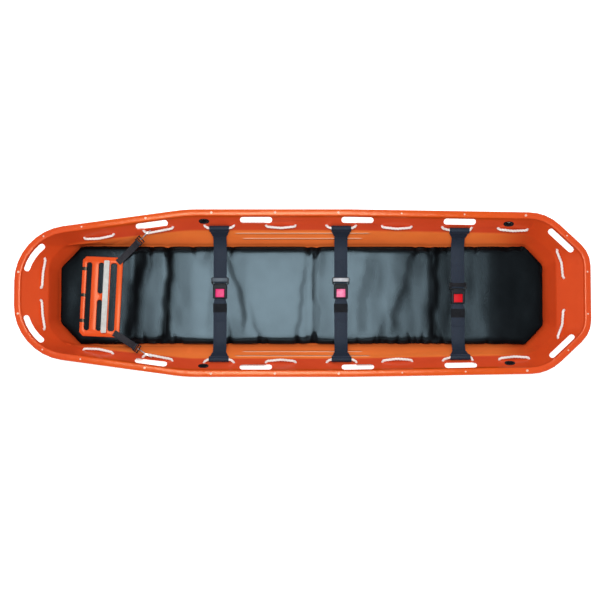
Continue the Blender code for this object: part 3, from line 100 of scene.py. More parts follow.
def setCamera():
    camera = bpy.data.objects.new("photoCamera", bpy.data.cameras.new("photoCamera"))
    bpy.context.scene.collection.objects.link(camera)
    place, aim = Vector(cameraSet["place"]), Vector(cameraSet["aim"])
    camera.location = place
    look = (aim - place).normalized()
    side = look.cross(Vector((0, 1, 0))).normalized()
    up = side.cross(look)
    camera.rotation_euler = Matrix((side, up, -look)).transposed().to_euler()
    camera.data.sensor_width = cameraSet["sensor"]
    distance = place.z - cameraSet["rimHeight"]
    camera.data.lens = cameraSet["sensor"] * distance / cameraSet["viewWidth"]
    camera.data.clip_end = cameraSet["reach"]
    bpy.context.scene.camera = camera


def setOrLink(tree, value, socket):
    # a number or colour is set on the socket itself, another node's output is linked to it
    if isinstance(value, bpy.types.NodeSocket):
        tree.links.new(value, socket)
    else:
        socket.default_value = value


def reckon(tree, operation, *values):
    made = tree.nodes.new("ShaderNodeMath")
    made.operation = operation
    for value, socket in zip(values, made.inputs):
        setOrLink(tree, value, socket)
    return made.outputs[0]


def seenDirectly(tree):
    # 1 for camera, glossy and transmission rays, 0 for the rays that light the object
    path = tree.nodes.new("ShaderNodeLightPath")
    value = path.outputs["Is Camera Ray"]
    for name in ("Is Glossy Ray", "Is Transmission Ray"):
        value = reckon(tree, "MAXIMUM", value, path.outputs[name])
    return value


def setWorld():
    world = bpy.data.worlds.new("studio")
    bpy.context.scene.world = world
    world.use_nodes = True
    tree = world.node_tree
    background = tree.nodes["Background"]
    background.inputs["Color"].default_value = (1, 1, 1, 1)
    strength = tree.nodes.new("ShaderNodeMapRange")
    strength.inputs["To Min"].default_value = skySet["strength"]
    strength.inputs["To Max"].default_value = 1.0
    tree.links.new(seenDirectly(tree), strength.inputs["Value"])
    tree.links.new(strength.outputs["Result"], background.inputs["Strength"])


def setFloor():
    bpy.ops.mesh.primitive_plane_add(size=floorSet["size"], location=(0, 0, floorSet["level"]))
    floor = bpy.context.object
    floor.name = "studioFloor"
    paper = bpy.data.materials.new("paleFloor")
    paper.use_nodes = True
    tree = paper.node_tree
    shader = tree.nodes["Principled BSDF"]
    shader.inputs["Base Color"].default_value = (*[floorSet["pale"]] * 3, 1)
    shader.inputs["Roughness"].default_value = floorSet["roughness"]
    shader.inputs["Specular IOR Level"].default_value = floorSet["shine"]
    shader.inputs["Emission Color"].default_value = (1, 1, 1, 1)
    glow = reckon(tree, "MULTIPLY", seenDirectly(tree), floorSet["glow"])
    tree.links.new(glow, shader.inputs["Emission Strength"])
    floor.data.materials.append(paper)


def setLamps():
    for name, (place, width, depth, watts) in lampSet.items():
        data = bpy.data.lights.new(name, "AREA")
        data.shape = "RECTANGLE"
        data.size = width
        data.size_y = depth
        data.energy = watts
        lamp = bpy.data.objects.new(name, data)
        lamp.location = place
        aim = Vector((place[0] * aimSet["share"], 0, aimSet["height"]))
        lamp.rotation_euler = (aim - Vector(place)).to_track_quat("-Z", "Y").to_euler()
        bpy.context.scene.collection.objects.link(lamp)


bpy.context.scene.view_settings.view_transform = "Standard"
setCamera()
setWorld()
setFloor()
setLamps()
print("camera, floor and lamps")


# ---- small helpers

mergeSet = {"doubles": 0.00002, "flat": 0.5, "square": 179}  # metres and degrees
edgeSet = {"angle": 32, "smooth": 38}  # degrees: edges sharper than these are rounded, stay crisp


def deselect():
    if bpy.context.object and bpy.context.object.mode != "OBJECT":
        bpy.ops.object.mode_set(mode="OBJECT")
    bpy.ops.object.select_all(action="DESELECT")


def pick(obj):
    deselect()
    obj.select_set(True)
    bpy.context.view_layer.objects.active = obj


def applyModifier(obj, kind, **values):
    pick(obj)
    added = obj.modifiers.new(kind.lower(), kind)
    for key, value in values.items():
        setattr(added, key, value)
    bpy.ops.object.modifier_apply(modifier=added.name)


def nodeCopy(node, name):
    # a merged copy of a CAD node, free to be shaped
    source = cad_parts[node]
    mesh = source.data.copy()
    mesh.name = name
    mesh.materials.clear()
    obj = bpy.data.objects.new(name, mesh)
    bpy.context.scene.collection.objects.link(obj)
    pick(obj)
    bpy.ops.object.mode_set(mode="EDIT")
    bpy.ops.mesh.select_all(action="SELECT")
    bpy.ops.mesh.remove_doubles(threshold=mergeSet["doubles"])
    bpy.ops.mesh.tris_convert_to_quads(
        face_threshold=math.radians(mergeSet["flat"]), shape_threshold=math.radians(mergeSet["square"]),
    )
    bpy.ops.object.mode_set(mode="OBJECT")
    if mesh.has_custom_normals:
        bpy.ops.mesh.customdata_custom_splitnormals_clear()
    return obj


def roundEdges(obj, width, segments=2, angle=edgeSet["angle"]):
    applyModifier(
        obj, "BEVEL", width=width, segments=segments, limit_method="ANGLE",
        angle_limit=math.radians(angle), use_clamp_overlap=True, miter_outer="MITER_ARC",
    )
    pick(obj)
    bpy.ops.object.shade_smooth_by_angle(angle=math.radians(edgeSet["smooth"]))


def dress(obj, look):
    obj.data.materials.clear()
    obj.data.materials.append(look)


def coverNode(node, name, look, width, segments=2, angle=edgeSet["angle"]):
    # a copy with rounded edges and its look, in the place of its CAD node
    obj = nodeCopy(node, name)
    roundEdges(obj, width, segments, angle)
    dress(obj, look)
    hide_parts(node)
    return obj


def finishCopy(node, name, look, body, width, segments=2, angle=edgeSet["angle"]):
    obj = coverNode(node, name, look, width, segments, angle)
    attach(obj, body)
    return obj


# ---- materials

def startLook(name, colour, roughness, metallic=0.0, shine=0.5):
    look = bpy.data.materials.new(name)
    look.use_nodes = True
    shader = look.node_tree.nodes["Principled BSDF"]
    shader.inputs["Base Color"].default_value = (*colour, 1)
    shader.inputs["Roughness"].default_value = roughness
    shader.inputs["Metallic"].default_value = metallic
    shader.inputs["Specular IOR Level"].default_value = shine
    return look, look.node_tree, shader


def objectSpace(tree, scale=(1, 1, 1), place=(0, 0, 0), turn=(0, 0, 0)):
    where = tree.nodes.new("ShaderNodeTexCoord")
    mapping = tree.nodes.new("ShaderNodeMapping")
    mapping.inputs["Location"].default_value = place
    mapping.inputs["Rotation"].default_value = turn
    mapping.inputs["Scale"].default_value = scale
    tree.links.new(where.outputs["Object"], mapping.inputs["Vector"])
    return mapping.outputs["Vector"]


def splitAxes(tree, space):
    split = tree.nodes.new("ShaderNodeSeparateXYZ")
    tree.links.new(space, split.inputs[0])
    return split.outputs


def noise(tree, vector, scale, detail=4.0, roughness=0.55):
    made = tree.nodes.new("ShaderNodeTexNoise")
    made.inputs["Scale"].default_value = scale
    made.inputs["Detail"].default_value = detail
    made.inputs["Roughness"].default_value = roughness
    tree.links.new(vector, made.inputs["Vector"])
    return made.outputs["Fac"]


def ramp(tree, value, low, high, colours):
    made = tree.nodes.new("ShaderNodeValToRGB")
    made.color_ramp.elements[0].position = low
    made.color_ramp.elements[1].position = high
    made.color_ramp.elements[0].color = (*colours[0], 1)
    made.color_ramp.elements[1].color = (*colours[1], 1)
    tree.links.new(value, made.inputs["Fac"])
    return made.outputs["Color"]


def spread(tree, value, low, high):
    made = tree.nodes.new("ShaderNodeMapRange")
    made.inputs["To Min"].default_value = low
    made.inputs["To Max"].default_value = high
    tree.links.new(value, made.inputs["Value"])
    return made.outputs["Result"]


def awayFrom(tree, value, low, high):
    # 0 where the value's size is under low, 1 above high, eased between
    made = tree.nodes.new("ShaderNodeMapRange")
    made.interpolation_type = "SMOOTHSTEP"
    made.inputs["From Min"].default_value = low
    made.inputs["From Max"].default_value = high
    tree.links.new(reckon(tree, "ABSOLUTE", value), made.inputs["Value"])
    return made.outputs["Result"]


def bump(tree, shader, height, strength, distance, after=None):
    made = tree.nodes.new("ShaderNodeBump")
    made.inputs["Strength"].default_value = strength
    made.inputs["Distance"].default_value = distance
    tree.links.new(height, made.inputs["Height"])
    if after:
        tree.links.new(after, made.inputs["Normal"])
    tree.links.new(made.outputs["Normal"], shader.inputs["Normal"])
    return made.outputs["Normal"]


def mixColours(tree, kind, amount, first, second):
    made = tree.nodes.new("ShaderNodeMix")
    made.data_type = "RGBA"
    made.blend_type = kind
    for value, name in ((amount, "Factor_Float"), (first, "A_Color"), (second, "B_Color")):
        setOrLink(tree, value, next(one for one in made.inputs if one.identifier == name))
    return next(one for one in made.outputs if one.identifier == "Result_Color")


orangeSet = {
    "shine": 0.18, "tint": (1.0, 0.74, 0.48, 1), "rampTop": 0.2,
    "drift": ((0.92, 0.86, 0.86), (1, 1, 1)), "driftScale": 5.5,
    "rubStretch": (3, 40, 12), "rubScale": 14,
    # strength, distance
    "wavesScale": 13, "waves": (0.35, 0.004), "peelScale": 420, "peel": (0.1, 0.0006),
    # the ends' plain colour, painted shade in place of the light and shade painted by height, and how far
    # from the middle it takes over
    "end": (0.64, 0.070, 0.015, 1), "endFrom": 0.70, "endTo": 0.90,
}
tubSet = {
    "roughness": 0.15,
    # height and colour, painted light and shade: the lower wall is painted paler, as it stands less steep to
    # the light, the steep wall and the rim darker
    "colours": (
        (0.040, (0.94, 0.20, 0.045)), (0.098, (0.98, 0.235, 0.048)), (0.112, (0.75, 0.083, 0.027)),
        (0.168, (0.75, 0.083, 0.024)), (0.182, (0.64, 0.078, 0.008)),
    ),
}
beadSet = {
    # distance from the middle line and half length of each
    "lines": ((0.2162, 0.235), (0.2333, 0.262)),
    # the bead's colour is a painted highlight along it
    "halfWidth": 0.003, "fade": 0.02, "height": 0.004, "colour": (1.0, 0.55, 0.36, 1),
}
restSet = {
    # the foot rest's own axes
    "place": (0.76794, 0.04102, 0), "turn": (0, 0, math.radians(2.5)),
    "colour": (0.68, 0.082, 0.012), "roughness": 0.24,
    # bands round the bar on the foot side: their places along it and their width
    "barEnd": -0.0585, "bands": (0.105, 0.004, -0.0935), "bandWidth": 0.013, "dark": (0.012, 0.012, 0.014, 1),
}


def heightColour(tree, space, stops):
    # a colour for each height in metres, eased from one to the next; on the tub it paints light and shade
    share = tree.nodes.new("ShaderNodeMapRange")
    share.inputs["From Max"].default_value = orangeSet["rampTop"]
    tree.links.new(splitAxes(tree, space)["Z"], share.inputs["Value"])
    made = tree.nodes.new("ShaderNodeValToRGB")
    made.color_ramp.interpolation = "EASE"
    elements = made.color_ramp.elements
    while len(elements) < len(stops):
        elements.new(0.5)
    for element, (height, colour) in zip(elements, stops):
        element.position = height / orangeSet["rampTop"]
        element.color = (*colour, 1)
    tree.links.new(share.outputs["Result"], made.inputs["Fac"])
    return made.outputs["Color"]


def orangeLook(name, stops, roughness):
    # moulded polyethylene: light and shade painted into the colour by height and at the ends, slow colour
    # drift, orange-peel skin and fine scratches
    look, tree, shader = startLook(name, stops[0][1], roughness, shine=orangeSet["shine"])
    shader.inputs["Specular Tint"].default_value = orangeSet["tint"]
    space = objectSpace(tree)
    drift = ramp(tree, noise(tree, space, orangeSet["driftScale"], 3), 0.3, 0.7, orangeSet["drift"])
    paintedEndShade = awayFrom(tree, splitAxes(tree, space)["X"], orangeSet["endFrom"], orangeSet["endTo"])
    # painted shade: the ends take their own darker colour in place of the light and shade painted by height
    plain = mixColours(tree, "MIX", paintedEndShade, heightColour(tree, space, stops), orangeSet["end"])
    plain = mixColours(tree, "MULTIPLY", 1.0, plain, drift)
    tree.links.new(plain, shader.inputs["Base Color"])
    rub = noise(tree, objectSpace(tree, orangeSet["rubStretch"]), orangeSet["rubScale"], 5, 0.65)
    tree.links.new(spread(tree, rub, roughness - 0.05, roughness + 0.1), shader.inputs["Roughness"])
    waves = noise(tree, space, orangeSet["wavesScale"], 2)
    peel = noise(tree, space, orangeSet["peelScale"], 2)
    skin = bump(tree, shader, waves, *orangeSet["waves"])
    skin = bump(tree, shader, peel, *orangeSet["peel"], skin)
    return look, tree, shader, plain, skin


def tubLook():
    # two moulded beads along each lower wall, between the first and the second belt, each with a painted
    # highlight in its paler colour
    look, tree, shader, plain, skin = orangeLook("orangePolyethylene", tubSet["colours"], tubSet["roughness"])
    split = splitAxes(tree, objectSpace(tree))
    side = reckon(tree, "ABSOLUTE", split["Y"])
    beadAndHighlight = 0
    for middle, end in beadSet["lines"]:
        across = awayFrom(tree, reckon(tree, "SUBTRACT", side, middle), beadSet["halfWidth"], 0)
        along = awayFrom(tree, split["X"], end, end - beadSet["fade"])
        beadAndHighlight = reckon(tree, "MAXIMUM", reckon(tree, "MULTIPLY", across, along), beadAndHighlight)
    bump(tree, shader, beadAndHighlight, 1.0, beadSet["height"], skin)
    # painted highlight: the beads take a paler colour where they are raised
    tree.links.new(mixColours(tree, "MIX", beadAndHighlight, plain, beadSet["colour"]), shader.inputs["Base Color"])
    return look


def footRestLook():
    # black bands round the bar on the foot side of the rest
    stops = ((0.0, restSet["colour"]), (orangeSet["rampTop"], restSet["colour"]))
    look, tree, shader, plain, _ = orangeLook("orangeFootRest", stops, restSet["roughness"])
    split = splitAxes(tree, objectSpace(tree, place=restSet["place"], turn=restSet["turn"]))
    marked = 0
    for middle in restSet["bands"]:
        near = reckon(tree, "COMPARE", split["Y"], middle, restSet["bandWidth"] / 2)
        marked = reckon(tree, "MAXIMUM", near, marked)
    onBar = reckon(tree, "LESS_THAN", split["X"], restSet["barEnd"])
    mask = reckon(tree, "MULTIPLY", onBar, marked)
    tree.links.new(mixColours(tree, "MIX", mask, plain, restSet["dark"]), shader.inputs["Base Color"])
    return look


metalSet = {
    "wear": 0.12, "dull": 0.72, "stainScale": 90,
    "bump": (0.08, 0.0004),  # strength, distance
    "alongTube": (900, 60, 60), "plain": (60, 60, 900), "knurl": (1400, 60, 60),
}


def metalLook(
    name, colour, roughness, metallic=1.0, grain=metalSet["plain"], wear=metalSet["wear"], shine=0.5,
):
    look, tree, shader = startLook(name, colour, roughness, metallic, shine)
    lines = noise(tree, objectSpace(tree, grain), 1.0, 4, 0.6)
    tree.links.new(spread(tree, lines, roughness - wear, roughness + wear), shader.inputs["Roughness"])
    stain = noise(tree, objectSpace(tree), metalSet["stainScale"], 3)
    dull = tuple(c * metalSet["dull"] for c in colour)
    tree.links.new(ramp(tree, stain, 0.25, 0.7, (dull, colour)), shader.inputs["Base Color"])
    bump(tree, shader, lines, *metalSet["bump"])
    return look


def barLook(name, colour, shine):
    # lit and shaded copies of one knurled bar: each lies differently to the light, so each has its brightness
    # painted into its colour
    return metalLook(name, colour, 0.5, metallic=0.4, grain=metalSet["knurl"], wear=0.1, shine=shine)


plasticSet = {
    "cloudScale": 45, "smoother": 0.08, "rougher": 0.12,
    "bump": (0.18, 0.0003),  # strength, distance
}


def plasticLook(name, colour, roughness, grain=900, lighter=None, shine=0.08):
    look, tree, shader = startLook(name, colour, roughness, shine=shine)
    space = objectSpace(tree)
    pits = noise(tree, space, grain, 3)
    cloud = noise(tree, space, plasticSet["cloudScale"], 3)
    pale = lighter or tuple(min(1, c * 1.5 + 0.004) for c in colour)
    tree.links.new(ramp(tree, cloud, 0.35, 0.75, (colour, pale)), shader.inputs["Base Color"])
    smooth, rough = roughness - plasticSet["smoother"], roughness + plasticSet["rougher"]
    tree.links.new(spread(tree, cloud, smooth, rough), shader.inputs["Roughness"])
    bump(tree, shader, pits, *plasticSet["bump"])
    return look


webSet = {
    "roughness": 0.55, "shine": 0.15,
    "sheen": 0.08, "sheenRoughness": 0.4, "sheenTint": (0.55, 0.62, 0.9, 1),
    "zigzag": 0.0028, "ribsPerMetre": 620, "ribShare": 0.3, "fineScale": 1250,
    "bump": (0.5, 0.0005),  # strength, distance
}


def webbingLook(name, centreX, colour, edge):
    # tight woven polyester: ribs across the belt and a herringbone along it
    look, tree, shader = startLook(name, colour, webSet["roughness"], shine=webSet["shine"])
    shader.inputs["Sheen Weight"].default_value = webSet["sheen"]
    shader.inputs["Sheen Roughness"].default_value = webSet["sheenRoughness"]
    shader.inputs["Sheen Tint"].default_value = webSet["sheenTint"]
    split = splitAxes(tree, objectSpace(tree, place=(-centreX, 0, 0)))
    lean = reckon(tree, "ADD", split["Y"], reckon(tree, "PINGPONG", split["X"], webSet["zigzag"]))
    wave = reckon(tree, "SINE", reckon(tree, "MULTIPLY", lean, 2 * math.pi * webSet["ribsPerMetre"]))
    fine = noise(tree, objectSpace(tree, (1, 0.25, 1)), webSet["fineScale"], 2)
    weave = reckon(tree, "MULTIPLY_ADD", wave, webSet["ribShare"], fine)
    tree.links.new(ramp(tree, weave, 0.25, 0.8, (colour, edge)), shader.inputs["Base Color"])
    bump(tree, shader, weave, *webSet["bump"])
    return look


vinylSet = {
    "colour": (0.012, 0.0125, 0.014), "roughness": (0.16, 0.26), "tint": (0.60, 0.85, 1.0, 1),
    "clouds": ((0.0015, 0.0016, 0.002), (0.003, 0.0033, 0.004)), "cloudScale": 9,
    "flatShine": 0.165, "foldShine": 0.012,
    # strength, distance
    "softScale": 9, "soft": (0.3, 0.008), "grainScale": 420, "grain": (0.14, 0.0005),
}


def vinylLook():
    look, tree, shader = startLook("blackVinyl", vinylSet["colour"], 0.27, shine=0.17)
    shader.inputs["Specular Tint"].default_value = vinylSet["tint"]
    space = objectSpace(tree)
    grain = tree.nodes.new("ShaderNodeTexVoronoi")
    grain.inputs["Scale"].default_value = vinylSet["grainScale"]
    tree.links.new(space, grain.inputs["Vector"])
    cloud = noise(tree, space, vinylSet["cloudScale"], 5, 0.6)
    tree.links.new(ramp(tree, cloud, 0.3, 0.75, vinylSet["clouds"]), shader.inputs["Base Color"])
    # painted shade: the lamps' reflection is turned down where the folds' slopes turn away from the lamps, on
    # the puckers and past the pad's ends
    paintedShadeMark = tree.nodes.new("ShaderNodeAttribute")
    paintedShadeMark.attribute_name = "paintedShade"
    shine = spread(tree, paintedShadeMark.outputs["Fac"], vinylSet["flatShine"], vinylSet["foldShine"])
    tree.links.new(shine, shader.inputs["Specular IOR Level"])
    tree.links.new(spread(tree, cloud, *vinylSet["roughness"]), shader.inputs["Roughness"])
    soft = noise(tree, objectSpace(tree, (1, 0.55, 1)), vinylSet["softScale"], 1)
    first = bump(tree, shader, soft, *vinylSet["soft"])
    bump(tree, shader, grain.outputs["Distance"], *vinylSet["grain"], first)
    return look


cordSet = {
    "colour": (0.8, 0.79, 0.76), "roughness": 0.75, "sheen": 0.25,
    "clouds": ((0.70, 0.66, 0.63), (0.86, 0.84, 0.82)), "cloudScale": 30,
    "fibreScale": 700, "fibre": (0.35, 0.0006),  # strength, distance
}


def ropeLook():
    look, tree, shader = startLook("whiteRope", cordSet["colour"], cordSet["roughness"])
    shader.inputs["Sheen Weight"].default_value = cordSet["sheen"]
    space = objectSpace(tree)
    fibre = noise(tree, space, cordSet["fibreScale"], 3)
    cloud = noise(tree, space, cordSet["cloudScale"], 4)
    tree.links.new(ramp(tree, cloud, 0.3, 0.75, cordSet["clouds"]), shader.inputs["Base Color"])
    bump(tree, shader, fibre, *cordSet["fibre"])
    return look


looks = {
    "orange": tubLook(),
    "orangeRest": footRestLook(),
    "aluminium": metalLook("aluminiumTube", (0.66, 0.67, 0.69), 0.34, grain=metalSet["alongTube"]),
    "blackSteel": metalLook("blackCoatedSteel", (0.012, 0.013, 0.016), 0.36, metallic=0.1, shine=0.1),
    "zinc": metalLook("zincSteel", (0.62, 0.63, 0.66), 0.3),
    "rivet": metalLook("rivetHead", (0.80, 0.52, 0.40), 0.5, metallic=0.1),
    "bar1": barLook("halfShadedBar", (0.12, 0.15, 0.18), 0.2),
    "bar2": barLook("brightBar", (0.50, 0.52, 0.55), 0.3),
    "bar3": barLook("darkBar", (0.02, 0.021, 0.025), 0.1),
    "plastic": plasticLook("blackPlastic", (0.005, 0.005, 0.008), 0.42),
    "button1": plasticLook("pinkishButton", (0.60, 0.012, 0.12), 0.26, lighter=(0.72, 0.03, 0.20)),
    "button2": plasticLook("paleButton", (0.66, 0.06, 0.20), 0.26, lighter=(0.80, 0.25, 0.42)),
    "button3": plasticLook(
        "redButton", (0.50, 0.004, 0.010), 0.3, lighter=(0.56, 0.006, 0.014), shine=0.04,
    ),
    "pale": plasticLook("paleStrip", (0.46, 0.48, 0.46), 0.5, grain=500, lighter=(0.60, 0.62, 0.59)),
    "elastic": plasticLook("blackElastic", (0.005, 0.006, 0.008), 0.7, grain=500),
    "vinyl": vinylLook(),
    "rope": ropeLook(),
}
print("materials:", len(looks))


# ---- plain finishing of the CAD pieces: bevel widths in metres, then segments

tubFinish = {
    "shell": (0.0014, 3, 34),
    "tubes": ("frame_tube_foot", "frame_tube_head", "frame_spigot_left", "frame_spigot_right"),
    "tube": (0.0004, 1, 60), "eyelet": (0.0005, 3), "guard": (0.0004, 2), "corners": (1, 2, 3, 4),
    "evenOut": 80,  # how strongly large faces decide the shading
}


def finishTub():
    tub = finishCopy("shell", "tubShell", looks["orange"], "stretcher", *tubFinish["shell"])
    applyModifier(tub, "WEIGHTED_NORMAL", keep_sharp=True, weight=tubFinish["evenOut"])
    for name in tubFinish["tubes"]:
        finishCopy(name, name + "Finished", looks["aluminium"], "stretcher", *tubFinish["tube"])
    for number in tubFinish["corners"]:
        eyelet, guard = f"lift_eyelet_{number}", f"lift_guard_{number}"
        finishCopy(eyelet, f"eyelet{number}", looks["blackSteel"], "stretcher", *tubFinish["eyelet"])
        finishCopy(guard, f"guard{number}", looks["blackSteel"], "stretcher", *tubFinish["guard"])
    return tub


beltSet = {
    "centres": (-0.3149, 0.1469, 0.594),
    "web": ((0.006, 0.010, 0.018), (0.018, 0.030, 0.052)),  # ground and ribs
    "bevel": 0.0005,
    # CAD name, name, look, body, bevel; the belt's number follows the names
    "pieces": (
        ("belt_lower_", "lowerBelt", "web", "stretcher", (0.0005,)),
        ("belt_keeper_", "keeper", "elastic", "stretcher", (0.0003,)),
        ("tongue_", "tongueFrame", "blackSteel", "tongue", (0.0005,)),
        ("slide_bar_", "knurledBar", "bar", "bar", (0.0002, 1)),
        ("buckle_base_", "buckleBase", "zinc", "stretcher", (0.0003,)),
        ("buckle_cover_", "buckleCover", "plastic", "stretcher", (0.0008, 3)),
        ("buckle_back_", "buckleBack", "plastic", "stretcher", (0.0003,)),
        ("button_", "button", "button", "button", (0.0006, 3)),
        ("latch_plate_", "latchPlate", "zinc", "button", (0.0002,)),
    ),
    "wire": (0.0001, 1, 80),
}


def finishBelts():
    for number, centre in enumerate(beltSet["centres"], 1):
        tongueBody = f"tongue_half_{number}"
        bodies = {
            "stretcher": "stretcher", "tongue": tongueBody,
            "bar": f"adjuster_bar_{number}", "button": f"release_button_{number}",
        }
        web = webbingLook(f"webbing{number}", centre, *beltSet["web"])
        ownLooks = {"web": web, "bar": looks[f"bar{number}"], "button": looks[f"button{number}"]}
        upper = coverNode(f"belt_upper_{number}", f"upperBelt{number}", web, beltSet["bevel"])
        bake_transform(upper)
        for node, name, look, body, bevel in beltSet["pieces"]:
            look = ownLooks.get(look) or looks[look]
            finishCopy(f"{node}{number}", f"{name}{number}", look, bodies[body], *bevel)
        node = f"button_spring_{number}"
        spring = finishCopy(node, f"buttonSpring{number}", looks["zinc"], "stretcher", *beltSet["wire"])
        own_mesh(spring)


footSet = {
    "frame": (0.0016, 3), "strip": (0.0008, 2), "strap": 0.0004,
    "adjuster": (0.0006, 2), "hook": (0.0002, 1, 80),
    "web": ((0.01, 0.011, 0.014), (0.03, 0.032, 0.04)),
}


def finishFootRest():
    finishCopy("foot_rest_frame", "footRestFrame", looks["orangeRest"], "foot_rest", *footSet["frame"])
    finishCopy("foot_rest_pad", "footRestStrip", looks["pale"], "foot_rest", *footSet["strip"])
    web = webbingLook("strapWebbing", 0, *footSet["web"])
    for side, sign in (("left", 1), ("right", -1)):
        part = side.title()
        strap = coverNode(f"foot_strap_{side}", f"footStrap{part}", web, footSet["strap"])
        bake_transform(strap)
        adjuster, hook = f"foot_adjuster_{side}", f"foot_hook_{side}"
        finishCopy(adjuster, f"adjuster{part}", looks["blackSteel"], "stretcher", *footSet["adjuster"])
        finishCopy(hook, f"hook{part}", looks["zinc"], "stretcher", *footSet["hook"])


# ---- rivets through the rim into the tube

rivetSet = {
    # a point inside the rim and the way out across it
    "starts": [
        ((-0.956, 0.19), (-0.55, 0.83)), ((-0.822, 0.20), (-0.13, 0.99)), ((-0.582, 0.23), (-0.13, 0.99)),
        ((-0.342, 0.26), (0, 1)), ((-0.103, 0.26), (0, 1)), ((0.135, 0.26), (0, 1)), ((0.372, 0.26), (0, 1)),
        ((0.608, 0.25), (0, 1)), ((0.837, 0.25), (0.02, 1)), ((0.975, 0.196), (0.66, 0.75)),
        ((-1.02, 0.078), (-1, 0)), ((1.02, 0.079), (1, 0)),
    ],
    "radius": 0.0034, "rise": 0.0016, "washer": 0.0046, "thick": 0.0012, "sunk": 0.0001, "edge": 0.0003,
    "sides": (20, 12, 24),  # round the head, up the head, round the washer
    "smooth": 40,
    "search": (0.0005, 180),  # step and number of steps across the rim
    "level": 0.0006,  # the rim's flat top lies this near to the very top
}


def rimMiddle(tree, start, way):
    # middle of the level top that lies between the wall and the rim's outer edge
    pitch, count = rivetSet["search"]
    above = Vector((*start, 0.3))
    step = Vector((*Vector(way).normalized(), 0)) * pitch
    found = []
    for number in range(count):
        hit = tree.ray_cast(above + step * number, Vector((0, 0, -1)))[0]
        if hit and hit.z > cadHigh[2] - rivetSet["level"]:
            found.append(hit)
    return (found[0] + found[-1]) / 2


def makeRivets(rim):
    depsgraph = bpy.context.evaluated_depsgraph_get()
    tree = BVHTree.FromObject(rim, depsgraph)
    starts = rivetSet["starts"] + [((x, -y), (u, -v)) for (x, y), (u, v) in rivetSet["starts"]]
    around, rings, sides = rivetSet["sides"]
    for number, (start, way) in enumerate(starts, 1):
        place = rimMiddle(tree, start, way)
        bpy.ops.mesh.primitive_uv_sphere_add(
            segments=around, ring_count=rings, radius=rivetSet["radius"], location=place,
        )
        rivet = bpy.context.object
        rivet.name = f"rimRivet{number}"
        rivet.scale.z = rivetSet["rise"] / rivetSet["radius"]
        bpy.ops.object.transform_apply(location=True, rotation=True, scale=True)
        bpy.ops.mesh.primitive_cylinder_add(
            vertices=sides, radius=rivetSet["washer"], depth=rivetSet["thick"],
            location=place - Vector((0, 0, rivetSet["sunk"])),
        )
        washer = bpy.context.object
        bpy.ops.object.transform_apply(location=True, rotation=True, scale=True)
        roundEdges(washer, rivetSet["edge"])
        pick(rivet)
        washer.select_set(True)
        bpy.ops.object.join()
        bpy.ops.object.shade_smooth_by_angle(angle=math.radians(rivetSet["smooth"]))
        dress(rivet, looks["rivet"])
        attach(rivet, "stretcher")


# ---- laced rope: three strands along the CAD rope's middle line

